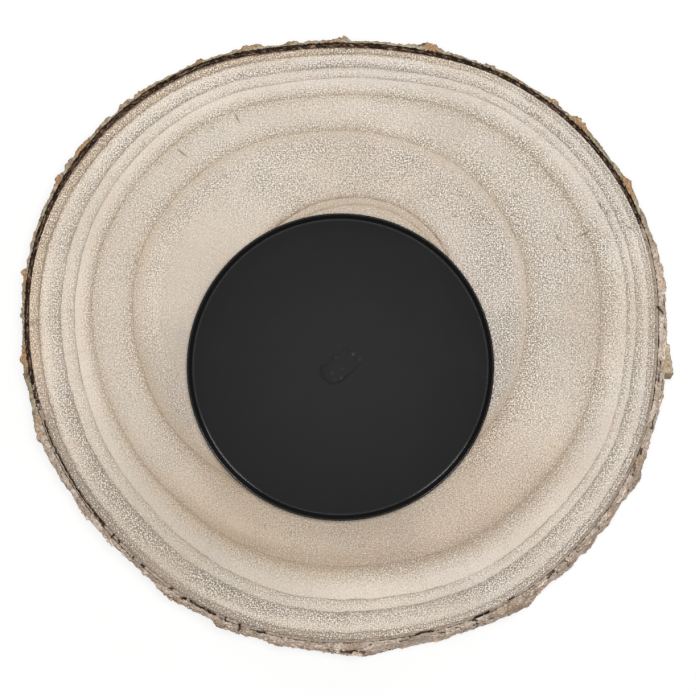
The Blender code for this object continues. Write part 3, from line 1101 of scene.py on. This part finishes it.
# What the outer bark's finish reads from its mesh
BARK_LAYERS = ("crack", "plate", "shade", "across", "bump", "dark")
# Width, height and seed of the big and the small plates
BIG_PLATES = (0.0062, 0.0130, 4.0)
SMALL_PLATES = (0.0026, 0.0040, 8.0)
# Levels between which the outer wall has its rows, and those between which it is measured
WALL_LOW, WALL_SPAN = 0.012, 0.976
LOWEST, HIGHEST = 0.02, 0.98
# From this level up the bark is cut face, not wall
CUT_FACE = 0.97
# Shares of its width: from the first on it is outer wall, and up to the second its inner edge
OUTER_WALL = 0.94
INNER_EDGE = 0.06
# How far the inner edge strays, and the bump that counts as 1 in the finish
EDGE_STRAY = 0.0006
FULL_BUMP = 0.0010
# How far the flake is from the log's middle, and how deep it sits in the bark
FLAKE_RADIUS = 0.146
FLAKE_ROOT = 0.0012
# The wall behind the flake is made without it: this far past its ends, as a level, and this many
# radians to each side for a metre of its width, from the wall measured this far below it
FLAKE_ENDS = 0.13
FLAKE_SIDES = 4.2
BELOW_FLAKE = 0.14


def row_at(level, rows):
    """The nearest row of the outer wall."""
    return min(max(round((level - WALL_LOW) / WALL_SPAN * rows), 0), rows)


def plate_pattern(round_way, z, width, height, seed):
    """A pattern of bark plates: how near a crack is, and a number for each plate."""
    sheet = Vector((round_way / width, z / height, seed))
    sheet.x += 0.5 * noise.noise(Vector((round_way * 60.0, z * 60.0, seed)))
    sheet.y += 0.5 * noise.noise(Vector((round_way * 70.0, z * 70.0, seed + 5.0)))
    distances, middles = noise.voronoi(sheet)
    number = 0.5 + 0.5 * noise.cell(middles[0] * 7.31)
    return distances[1] - distances[0], number


def plates(round_way, z):
    """The numbers of the big and the small plate at a place, and how near a crack is."""
    big_gap, big = plate_pattern(round_way, z, *BIG_PLATES)
    small_gap, small = plate_pattern(round_way, z, *SMALL_PLATES)
    patchy = noise.noise(Vector((round_way * 40.0, z * 30.0, 9.0)))
    crack = (1.0 - smooth(big_gap, 0.01, 0.12)) * smooth(patchy, -0.10, 0.40)
    fine = (1.0 - smooth(small_gap, 0.01, 0.11)) * smooth(-patchy, -0.15, 0.40)
    return big, small, max(crack, 0.7 * fine)


def bumps(wall, half=36):
    """How far each column of a wall stands out from the wall round it."""
    count = len(wall)
    total = sum(wall[k] for k in range(-half, half + 1))
    heights = []
    for k in range(count):
        heights.append(wall[k] - total / (2 * half + 1))
        total += wall[(k + half + 1) % count] - wall[k - half]
    return heights


class CANDLEPLATE_OT_bark(bpy.types.Operator):
    """Make the two layers of bark and the loose flake"""

    bl_idname = "candle_plate.bark"
    bl_label = "Bark"

    def execute(self, context):
        settings = context.scene.candle_plate_bark
        log = Log()
        self.inner(settings, log)
        self.outer(settings, log)
        return {"FINISHED"}

    def ring(self, settings, log, section, inside, outside, drop, names):
        """Spin a plain ring, 1 wide inside and 2 outside, and lay it on the log.

        Returns it with each vert's angle, share of the width and level, and its layers.
        """
        bm = spun(section + section[:1], settings.columns, 1e-5)
        layers = add_layers(bm, names)
        placed = []
        for vert in bm.verts:
            share, level = vert.co.xy.length - 1.0, vert.co.z
            angle = math.atan2(vert.co.y, vert.co.x)
            column = column_at(angle, settings.columns)
            z = log.height(level)
            radius = blend(inside(column, level), outside(column, level), share)
            vert.co = log.middle(z) + heading(angle) * radius
            vert.co.z = z - drop(vert.co, share, level)
            placed.append((vert, angle, share, level))
        return bm, placed, layers

    def scan(self, settings, log, name, outside):
        """Radii of a packed wall, one for each column."""
        start = log.middle(log.height(SCAN_LEVEL))
        columns = settings.columns
        return [log.reach(name, start, math.tau * k / columns, outside) for k in range(columns)]

    def inner(self, settings, log):
        """The dark layer next to the wood."""
        wood = self.scan(settings, log, "wood_slice", False)
        bark = self.scan(settings, log, "inner_bark", True)
        top = [(1.0, 0.985)]
        top += [(reach, 1.0) for reach in (1.0, 1.17, 1.33, 1.5, 1.67, 1.83, 2.0)]
        low = [(2.0, 0.985), (2.0, 0.5), (2.0, 0.0), (1.5, 0.0), (1.0, 0.0), (1.0, 0.5)]
        gap = 0.00008

        def drop(spot, share, level):
            """How far the cut face has crumbled away at a spot."""
            if level < 0.99:
                return 0.0
            rough = noise.turbulence(spot * 700.0, 2, True)
            chunks = noise.noise(spot * 330.0)
            worn = 0.75 * rough + 0.5 * chunks + 0.25 + 1.2 * crack_depth(spot)
            return max(settings.crumble * worn, 0.0001)

        bm, placed, layers = self.ring(
            settings, log, top + low, lambda k, level: wood[k] + gap, lambda k, level: bark[k],
            drop, ("dark", "across"))
        for vert, angle, share, level in placed:
            edge = 8.0 * noise.noise(Vector((angle * 20.0, 1.0, 2.0)))
            dark = dark_share(angle + math.radians(edge) * 0.4)
            # Along the cracks the cut face is painted dark: darker bark at their bottoms, with
            # painted shade in the hollows
            if level > CUT_FACE:
                dark = max(dark, crack_depth(vert.co))
            vert[layers["dark"]] = dark
            vert[layers["across"]] = share
        material = inner_bark_finish(settings)
        add_piece("slice_inner_bark", bm, material, ["inner_bark"], 35.0)

    def outer(self, settings, log):
        """The lumpy layer outside, with its crumbs and its flake."""
        rows, gap = settings.rows, 0.0002
        inside = [reach + gap for reach in self.scan(settings, log, "inner_bark", True)]
        levels = [WALL_LOW + WALL_SPAN * k / rows for k in range(rows + 1)]
        walls = [self.wall(settings, log, level) for level in levels]
        top = [(1.0, 0.985)] + [(reach, 1.0) for reach in (1.0, 1.2, 1.4, 1.6, 1.8, 1.95)]
        wall = [(2.0, level) for level in reversed(levels)]
        low = [(1.9, 0.0), (1.5, 0.0), (1.0, 0.0), (1.0, 0.33), (1.0, 0.66)]

        def drop(spot, share, level):
            """How far the cut face and its outer edge have crumbled away at a spot."""
            if level < 0.98:
                return 0.0
            rough = noise.turbulence(spot * 480.0, 3, True)
            chunks = 0.5 + 0.5 * noise.noise(spot * 190.0)
            worn = (rough * 0.8 + chunks * share) * (0.35 + share)
            return settings.crumble * max(worn, 1.6 * crack_depth(spot))

        bm, placed, layers = self.ring(
            settings, log, top + wall + low, lambda k, level: inside[k],
            lambda k, level: walls[row_at(level, rows)][k], drop, BARK_LAYERS)
        self.weather(settings, log, walls, placed, layers)
        material = outer_bark_finish(settings)
        self.crumbs(settings, log, walls, material)
        add_piece("slice_outer_bark", bm, material, ["outer_bark"], 45.0)
        self.flake(settings, log, material)

    def weather(self, settings, log, walls, placed, layers):
        """Give the outer bark its plates, cracks, lumps and knobs, and fill its layers."""
        rises = [bumps(wall) for wall in walls]
        for vert, angle, share, level in placed:
            spot = vert.co.copy()
            big, small, crack = plates(angle * BARK_RADIUS, spot.z)
            lumps = noise.fractal(spot * 300.0, 0.8, 2.1, 4)
            way = (spot - log.middle(spot.z)).to_2d().to_3d().normalized()
            knob = 0.0
            open_crack = crack_depth(spot)
            if share > OUTER_WALL:
                out = settings.lumps * (0.7 * lumps + 0.8 * (big - 0.5) + 0.9 * (small - 0.5))
                knob = knob_height(angle, level)
                out += knob * (1.0 + 0.35 * lumps)
                vert.co += way * (out - settings.cracks * max(0.8 * crack, open_crack))
                vert[layers["crack"]] = max(crack, open_crack)
            elif level > CUT_FACE:
                if share < INNER_EDGE:
                    vert.co += way * EDGE_STRAY * max(noise.noise(spot * 420.0), -0.1)
                vert[layers["crack"]] = max(0.35 * crack, open_crack)
            rise = rises[row_at(level, settings.rows)][column_at(angle, settings.columns)]
            edge = 3.0 * noise.noise(Vector((angle * 20.0, 1.0, 2.0)))
            vert[layers["plate"]] = 0.55 * big + 0.45 * small
            vert[layers["shade"]] = skin_share(angle)
            vert[layers["bump"]] = (rise + knob) / FULL_BUMP
            vert[layers["across"]] = 1.0
            if level > CUT_FACE:
                vert[layers["across"]] = share
                vert[layers["dark"]] = dark_share(angle + math.radians(edge))

    def wall(self, settings, log, level):
        """Radii of the packed outer wall at a level, without its loose flake."""
        low, high = settings.flake_low, settings.flake_high
        level = min(max(level, LOWEST), HIGHEST)
        beside_flake = low - FLAKE_ENDS < level < high + FLAKE_ENDS
        radii = []
        for k in range(settings.columns):
            angle = math.tau * k / settings.columns
            away = abs(turn_between(angle, settings.flake_angle))
            picks = [level]
            if beside_flake and away < settings.flake_width * FLAKE_SIDES:
                picks = [low - BELOW_FLAKE, HIGHEST]
            starts = [log.middle(log.height(pick)) for pick in picks]
            reaches = [log.reach("outer_bark", start, angle, True) for start in starts]
            radii.append(sum(reaches) / len(reaches))
        return radii

    def crumbs(self, settings, log, walls, material):
        """Small loose chips on the outer wall, most of them on the side that it leans to."""
        dice = random.Random(7)
        rows, columns = len(walls) - 1, len(walls[0])
        bm = bmesh.new()
        layers = add_layers(bm, BARK_LAYERS)
        for k in range(settings.crumbs):
            angle = math.radians(dice.choice((dice.gauss(-115.0, 22.0), dice.uniform(0.0, 360.0))))
            row = dice.randrange(2, rows)
            z = log.height(WALL_LOW + WALL_SPAN * row / rows)
            size = dice.uniform(0.0005, 0.0013)
            made = bmesh.ops.create_icosphere(bm, subdivisions=1, radius=size)["verts"]
            stretch = [dice.uniform(*span) for span in ((0.5, 0.9), (0.8, 1.8), (0.7, 1.6))]
            turn = Matrix.Rotation(angle + dice.uniform(-0.5, 0.5), 3, "Z")
            turn = turn @ Matrix.Rotation(dice.uniform(-0.8, 0.8), 3, "X")
            for vert in made:
                vert.co *= 1.0 + 0.5 * noise.noise(vert.co * 2500.0 + Vector((k, 0.0, 0.0)))
                vert.co = turn @ (vert.co * Vector(stretch))
                vert[layers["plate"]] = dice.uniform(0.3, 1.0)
                vert[layers["shade"]] = skin_share(angle)
                vert[layers["across"]] = 1.0
            spot = log.middle(z) + heading(angle) * walls[row][column_at(angle, columns)]
            bmesh.ops.translate(bm, verts=made, vec=spot)
        add_piece("bark_crumbs", bm, material, [], 45.0)

    def flake(self, settings, log, material):
        """The loose flake: a wedge of old bark, thicker and torn off square at one end."""
        bm = bmesh.new()
        layers = add_layers(bm, BARK_LAYERS)
        bmesh.ops.create_cube(bm, size=1.0)
        bmesh.ops.bevel(bm, geom=bm.edges[:], offset=0.04, affect="EDGES", segments=2, profile=0.5,
                        material=-1)
        bmesh.ops.subdivide_edges(bm, edges=bm.edges[:], cuts=7, use_grid_fill=True)
        low, high = settings.flake_low, settings.flake_high
        start = log.middle(log.height(low - BELOW_FLAKE))
        for vert in bm.verts:
            across, along, up = vert.co.x + 0.5, vert.co.y, vert.co.z + 0.5
            z = log.height(blend(low, high, up))
            angle = settings.flake_angle + along * settings.flake_width / FLAKE_RADIUS
            base = log.reach("outer_bark", start, angle, True) - FLAKE_ROOT
            reach = blend(settings.flake_reach, settings.flake_thin, along + 0.5)
            reach = reach * (0.80 + 0.20 * up) + FLAKE_ROOT
            way = heading(angle)
            spot = log.middle(z) + way * (base + reach * across)
            rough = 0.0004 * noise.fractal(spot * 420.0, 0.9, 2.0, 3)
            vert.co = spot + way * rough + Vector((0.0, 0.0, 0.8 * rough))
            vert[layers["plate"]] = 0.55 + 0.3 * noise.noise(spot * 200.0)
            vert[layers["shade"]] = 0.70
            vert[layers["across"]] = 1.0
        add_piece("loose_flake", bm, material, [], 45.0)


def coating_finish(settings):
    """Black coating: fine orange peel, faint rubbed patches, painted sheen and shade on the floor,
    painted shade and glints on the weld mark, and a bend that shines in places.
    """
    f = Finish("black_coating_baked")
    weld = f.layer("weld")
    peel = f.noise(1500.0, 2.0)
    rubbed = f.noise(38.0, 4.0)
    centre = Vector((DISH_MIDDLE.x, DISH_MIDDLE.y, DISH_BOX[0].z))
    # Painted sheen and shade: the floor is painted lighter in the middle and darker towards the
    # wall. The noise added next gives faint rubbed patches, which are wear.
    worn = 1.0 - f.step(f.vector("DISTANCE", f.spot, centre, "Value"), 0.008, 0.066)
    worn = worn * 0.55 + f.step(rubbed, -0.05, 0.3) * 0.25
    # Painted shade: the side of the weld mark that faces away from the lamps
    shaded_side = f.facing(f.way_from(centre), 243.2, -0.9, 0.6)
    color = f.over(
        settings.black,
        (worn, (0.0165, 0.0165, 0.0168)),
        (f.patches(900.0, 1.0, 0.27, 0.36) * 0.25, (0.06, 0.06, 0.06)),
        # Painted glints: the spatter beads are painted lighter grey
        (f.layer("bead"), (0.060, 0.060, 0.062)),
        # A faint dark edge all round the weld mark, and painted shade along its edge on the side
        # away from the lamps
        (weld * (1.0 - weld) * (shaded_side * 1.5 + 0.1), (0.0045, 0.0045, 0.0045)),
    )
    rough = 0.62 + rubbed * 0.10 + peel * 0.05
    f.feed(f.shader.inputs["Coat Weight"], f.layer("shine"))
    f.shader.inputs["Coat Roughness"].default_value = 0.15
    height = peel + f.noise(520.0, 2.0) * weld
    return f.coat(color, rough, height, 0.08, 0.0003, 0.10)


# Where the dish's bend is rubbed smooth: angle and half width in degrees, and how much
RUBBED_PLACES = ((-141.0, 16.0, 0.11), (-46.0, 13.0, 0.10))

# Beads of weld spatter on the mark: place from its middle, and size. The coating paints them
# lighter grey, as painted glints.
SPATTER = (
    (0.0058, 0.0057, 1.0), (-0.0022, 0.0044, 0.35), (0.0008, -0.0010, 0.30),
    (-0.0038, -0.0028, 0.35), (0.0004, -0.0051, 0.60), (-0.0022, -0.0060, 0.35),
    (0.0088, 0.0034, 0.40),
)


class CANDLEPLATE_OT_dish(bpy.types.Operator):
    """Make the pressed black dish with its weld mark"""

    bl_idname = "candle_plate.dish"
    bl_label = "Dish"

    def section(self, settings):
        """Half section of the dish: underside, rim, inside and floor."""
        half = settings.sheet / 2
        rim_radius = (DISH_BOX[1].x - DISH_BOX[0].x) / 2
        height = DISH_BOX[1].z - DISH_BOX[0].z
        corner = Vector((settings.base / 2 - half, half))
        rim = Vector((rim_radius - half, height - half))
        wall = (rim - corner).normalized()
        slope = math.atan2(wall.y, wall.x)
        radius = settings.bend + half
        center = Vector((corner.x - radius * math.tan(slope / 2), corner.y + radius))
        bend_steps, wall_steps, lip_steps = 10, 3, 10
        path = []
        for k in range(bend_steps + 1):
            turn = slope * k / bend_steps
            normal = Vector((-math.sin(turn), math.cos(turn)))
            path.append((center - radius * normal, normal))
        foot, normal = path[-1]
        path += [(foot.lerp(rim, k / wall_steps), normal) for k in range(1, wall_steps + 1)]
        along = Vector((normal.y, -normal.x))
        lip = []
        for k in range(1, lip_steps):
            turn = math.pi * k / lip_steps
            lip.append(rim + half * (math.sin(turn) * along - math.cos(turn) * normal))
        lower = [point - half * side for point, side in path]
        upper = [point + half * side for point, side in path]
        outline = [tuple(point) for point in lower + lip + upper[::-1]]
        floor = [upper[0].x - gap for gap in (0.0003, 0.0008, 0.0020, 0.0050)]
        floor += [0.050, 0.040, 0.030, 0.022, 0.016]
        weld_rings, weld_edge = 30, 0.0135
        floor += [weld_edge * (1.0 - k / weld_rings) for k in range(weld_rings + 1)]
        return [(0.0, 0.0)] + outline + [(reach, settings.sheet) for reach in floor]

    def scar(self, settings, spot):
        """Height of the weld mark at a spot of the floor, and how far that is mark and bead."""
        if spot.xy.length > settings.weld:
            return 0.0, 0.0, 0.0
        turn = settings.weld_turn
        along = spot.x * math.cos(turn) + spot.y * math.sin(turn)
        across = spot.y * math.cos(turn) - spot.x * math.sin(turn)
        rough = 0.0009 * noise.noise(Vector((spot.x * 300.0, spot.y * 300.0, 5.0)))
        half = settings.weld / 2
        round_way = (abs(along / half) ** 5 + abs(across / (0.66 * half)) ** 5) ** (1 / 5)
        inside = 0.7 * half * (1.0 - round_way) + 1.6 * rough
        body = smooth(inside, -0.0006, 0.0012)
        dents = noise.noise(Vector((spot.x * 420.0, spot.y * 420.0, 8.0)))
        rise = settings.weld_height * body * (0.55 + 0.35 * dents)
        bead = 0.0
        for x, y, size in SPATTER:
            away = math.hypot(spot.x - x, spot.y - y) * (1.0 + 0.6 * dents)
            bead = max(bead, size * math.exp(-(away / 0.0006) ** 2))
        return rise + 0.00035 * bead, body, bead

    def execute(self, context):
        settings = context.scene.candle_plate_dish
        bm = spun(self.section(settings), settings.columns)
        layers = add_layers(bm, ("shine", "weld", "bead"))
        lip = DISH_BOX[1].z - DISH_BOX[0].z - settings.sheet
        lip_middle = (DISH_BOX[1].x - DISH_BOX[0].x - settings.sheet) / 2
        floor_edge = settings.base / 2 - settings.sheet - settings.bend
        for vert in bm.verts:
            away = vert.co.xy.length
            if away > floor_edge - 0.0010:
                angle = math.atan2(vert.co.y, vert.co.x)
                rubbed = 0.02
                for degrees, width, depth in RUBBED_PLACES:
                    rubbed += depth * math.exp(-(degrees_from(angle, degrees) / width) ** 4)
                rubbed *= 1.0 + 1.6 * smooth(vert.co.z, lip, lip + settings.sheet / 2)
                rubbed *= 1.0 - smooth(away, lip_middle, lip_middle + settings.sheet / 4)
                vert[layers["shine"]] = rubbed * smooth(away, floor_edge - 0.0004, floor_edge)
            elif vert.co.z > settings.sheet * 0.9:
                rise, vert[layers["weld"]], vert[layers["bead"]] = self.scar(settings, vert.co)
                vert.co.z += rise
        bmesh.ops.translate(
            bm, verts=bm.verts, vec=(DISH_MIDDLE.x, DISH_MIDDLE.y, DISH_BOX[0].z))
        material = coating_finish(settings)
        add_piece("pressed_dish", bm, material, ["candle_dish"], 50.0)
        return {"FINISHED"}


class CANDLEPLATE_OT_pin(bpy.types.Operator):
    """Give the packed pin its bare steel finish"""

    bl_idname = "candle_plate.pin"
    bl_label = "Pin"

    def execute(self, context):
        settings = context.scene.candle_plate_dish
        f = Finish("turned_steel")
        stretched = f.vector("MULTIPLY", f.spot, (0.2, 0.2, 6.0))
        lines = f.noise(900.0, 2.0, stretched)
        color = f.mix(f.step(lines, -0.3, 0.3), settings.steel, (0.40, 0.40, 0.41))
        f.shader.inputs["Metallic"].default_value = 1.0
        material = f.coat(color, 0.36 + lines * 0.2, lines, 0.2, 0.0002)
        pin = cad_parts["dish_pin"]
        pin.data.materials.clear()
        pin.data.materials.append(material)
        return {"FINISHED"}


def felt_finish(settings):
    """Pressed felt: short crossing fibres."""
    f = Finish("pressed_felt")
    first = f.noise(1.0, 3.0, f.vector("MULTIPLY", f.spot, (900.0, 3200.0, 2200.0)))
    second = f.noise(1.0, 3.0, f.vector("MULTIPLY", f.spot, (3200.0, 900.0, 2200.0)))
    fibres = first + second
    color = f.mix(f.step(fibres, -0.3, 0.3), (0.125, 0.105, 0.085), settings.felt)
    color = f.mix(f.patches(500.0, 2.0, 0.05, 0.3) * 0.4, color, (0.33, 0.29, 0.25))
    return f.coat(color, 0.97, fibres, 0.7, 0.0005, 0.1)


class CANDLEPLATE_OT_pads(bpy.types.Operator):
    """Make the four felt pads"""

    bl_idname = "candle_plate.pads"
    bl_label = "Felt pads"

    def execute(self, context):
        settings = context.scene.candle_plate_pads
        material = felt_finish(settings)
        nodes = sorted(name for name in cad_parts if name.startswith("felt_pad_"))
        for name in nodes:
            self.pad(settings, material, name)
        return {"FINISHED"}

    def pad(self, settings, material, name):
        """One pad, with a sharp upper edge and a soft lower one."""
        low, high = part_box(name)
        middle = (low + high) / 2
        radius = (high.x - low.x) / 2
        thickness = high.z - low.z
        soft, sharp = thickness * 0.3, 0.0002
        rings, soft_steps = 8, 4
        section = [(radius * k / rings, thickness) for k in range(rings)]
        section += [(radius - sharp, thickness)]
        section += [(radius, thickness - sharp), (radius, thickness * 0.6)]
        for k in range(soft_steps + 1):
            turn = math.pi / 2 * k / soft_steps
            section.append((radius - soft + soft * math.cos(turn), soft - soft * math.sin(turn)))
        section += [(radius * k / rings, 0.0) for k in reversed(range(rings))]
        bm = spun(section, settings.columns)
        for vert in bm.verts:
            spot = vert.co + middle
            fuzz = settings.fuzz * noise.noise(spot * 1500.0)
            if vert.co.z < thickness - 0.0001:
                edge = smooth(vert.co.xy.length, radius * 0.9, radius)
                vert.co.xy *= 1.0 + (fuzz - settings.fuzz) * edge / radius
                vert.co.z = max(vert.co.z + abs(fuzz) * (1.0 - edge) * 0.3, 0.0)
        bmesh.ops.translate(bm, verts=bm.verts, vec=(middle.x, middle.y, low.z))
        piece = "felt_" + name.rsplit("_", 1)[1]
        add_piece(piece, bm, material, [name], 50.0)


# Lamps: name, which is also the setting for its watts, size and place
LAMPS = (
    ("top_lamp", (0.32, 0.40), (0.03, 0.05, 1.50)),
    ("right_lamp", (0.60, 0.12), (0.95, 0.85, 1.15)),
    ("left_lamp", (0.25, 0.12), (-0.95, 0.85, 1.15)),
)
# Half width of the floor, and its gap under the plate
FLOOR_HALF = 6.0
FLOOR_GAP = 0.0002


class CANDLEPLATE_OT_stage(bpy.types.Operator):
    """Set up the floor, the lamps, the sky and the camera"""

    bl_idname = "candle_plate.stage"
    bl_label = "Stage"

    def execute(self, context):
        settings = context.scene.candle_plate_stage
        scene = context.scene
        scene.view_settings.view_transform = "Standard"
        self.floor(settings)
        self.sky(settings, scene)
        for name, size, place in LAMPS:
            self.lamp(scene, name, getattr(settings, name), size, Vector(place))
        self.camera(settings, scene)
        return {"FINISHED"}

    def floor(self, settings):
        """A floor that looks white, and is plain paper for the light that falls on the plate."""
        bm = bmesh.new()
        bmesh.ops.create_grid(bm, x_segments=1, y_segments=1, size=FLOOR_HALF)
        bmesh.ops.translate(bm, verts=bm.verts, vec=(0.0, 0.0, CAD_BOX[0].z - FLOOR_GAP))
        floor = add_object("floor", bm)
        material = bpy.data.materials.new("floor_paper")
        material.use_nodes = True
        n = Nodes(material.node_tree)
        n.tree.nodes.remove(n.tree.nodes["Principled BSDF"])
        paper = n.node("ShaderNodeBsdfDiffuse", None, {"Color": settings.floor})
        bright = n.node("ShaderNodeBsdfDiffuse", None, {"Color": (0.30, 0.30, 0.30)})
        glow = n.node("ShaderNodeEmission", None, {"Strength": 0.73})
        both = n.node("ShaderNodeAddShader", None, {0: bright, 1: glow})
        pick = n.node("ShaderNodeMixShader", None, {0: n.seen(), 1: paper, 2: both})
        n.feed(n.tree.nodes["Material Output"].inputs["Surface"], pick)
        floor.data.materials.append(material)

    def sky(self, settings, scene):
        """A sky that looks white, and gives a little even light."""
        scene.world = bpy.data.worlds.new("sky")
        scene.world.use_nodes = True
        n = Nodes(scene.world.node_tree)
        background = n.tree.nodes["Background"]
        n.feed(background.inputs["Color"], (1.0, 1.0, 1.0))
        strength = n.node(
            "ShaderNodeMapRange", None,
            {"Value": n.seen(), "To Min": settings.sky, "To Max": 1.0})
        n.feed(background.inputs["Strength"], strength)

    def lamp(self, scene, name, watts, size, place):
        data = bpy.data.lights.new(name, "AREA")
        data.shape = "RECTANGLE"
        data.size, data.size_y = size
        data.energy = watts
        lamp = bpy.data.objects.new(name, data)
        lamp.location = place
        target = Vector((0.0, 0.0, WOOD_BOX[1].z))
        lamp.rotation_euler = (target - place).to_track_quat("-Z", "Y").to_euler()
        lamp.visible_camera = False
        scene.collection.objects.link(lamp)

    def camera(self, settings, scene):
        data = bpy.data.cameras.new("camera")
        data.sensor_fit = "HORIZONTAL"
        data.sensor_width = 36.0
        data.lens = settings.lens
        data.clip_start = 0.01
        camera = bpy.data.objects.new("camera", data)
        height = WOOD_BOX[1].z + settings.camera_height
        camera.location = LOG_AXIS + Vector((*settings.camera_place, height))
        scene.collection.objects.link(camera)
        scene.camera = camera


OPERATORS = (
    CANDLEPLATE_OT_wood,
    CANDLEPLATE_OT_bark,
    CANDLEPLATE_OT_dish,
    CANDLEPLATE_OT_pin,
    CANDLEPLATE_OT_pads,
    CANDLEPLATE_OT_stage,
)
GROUPS = {
    "candle_plate_wood": WoodSettings,
    "candle_plate_bark": BarkSettings,
    "candle_plate_dish": DishSettings,
    "candle_plate_pads": PadSettings,
    "candle_plate_stage": StageSettings,
}


class CANDLEPLATE_PT_panel(bpy.types.Panel):
    """Lists the pieces of the candle plate and their settings"""

    bl_label = "Candle Plate"
    bl_idname = "CANDLEPLATE_PT_panel"
    bl_space_type = "VIEW_3D"
    bl_region_type = "UI"
    bl_category = "Candle Plate"

    def draw(self, context):
        for operator in OPERATORS:
            self.layout.operator(operator.bl_idname)
        for name, group in GROUPS.items():
            box = self.layout.box()
            box.label(text=group.__doc__)
            for key in group.__annotations__:
                box.prop(getattr(context.scene, name), key)


CLASSES = (*GROUPS.values(), *OPERATORS, CANDLEPLATE_PT_panel)


def register():
    for item in CLASSES:
        bpy.utils.register_class(item)
    for name, group in GROUPS.items():
        setattr(bpy.types.Scene, name, bpy.props.PointerProperty(type=group))


def unregister():
    for name in GROUPS:
        delattr(bpy.types.Scene, name)
    for item in reversed(CLASSES):
        bpy.utils.unregister_class(item)


def main():
    register()
    bpy.ops.candle_plate.wood()
    bpy.ops.candle_plate.bark()
    bpy.ops.candle_plate.dish()
    bpy.ops.candle_plate.pin()
    bpy.ops.candle_plate.pads()
    bpy.ops.candle_plate.stage()


if __name__ == "__main__":
    main()
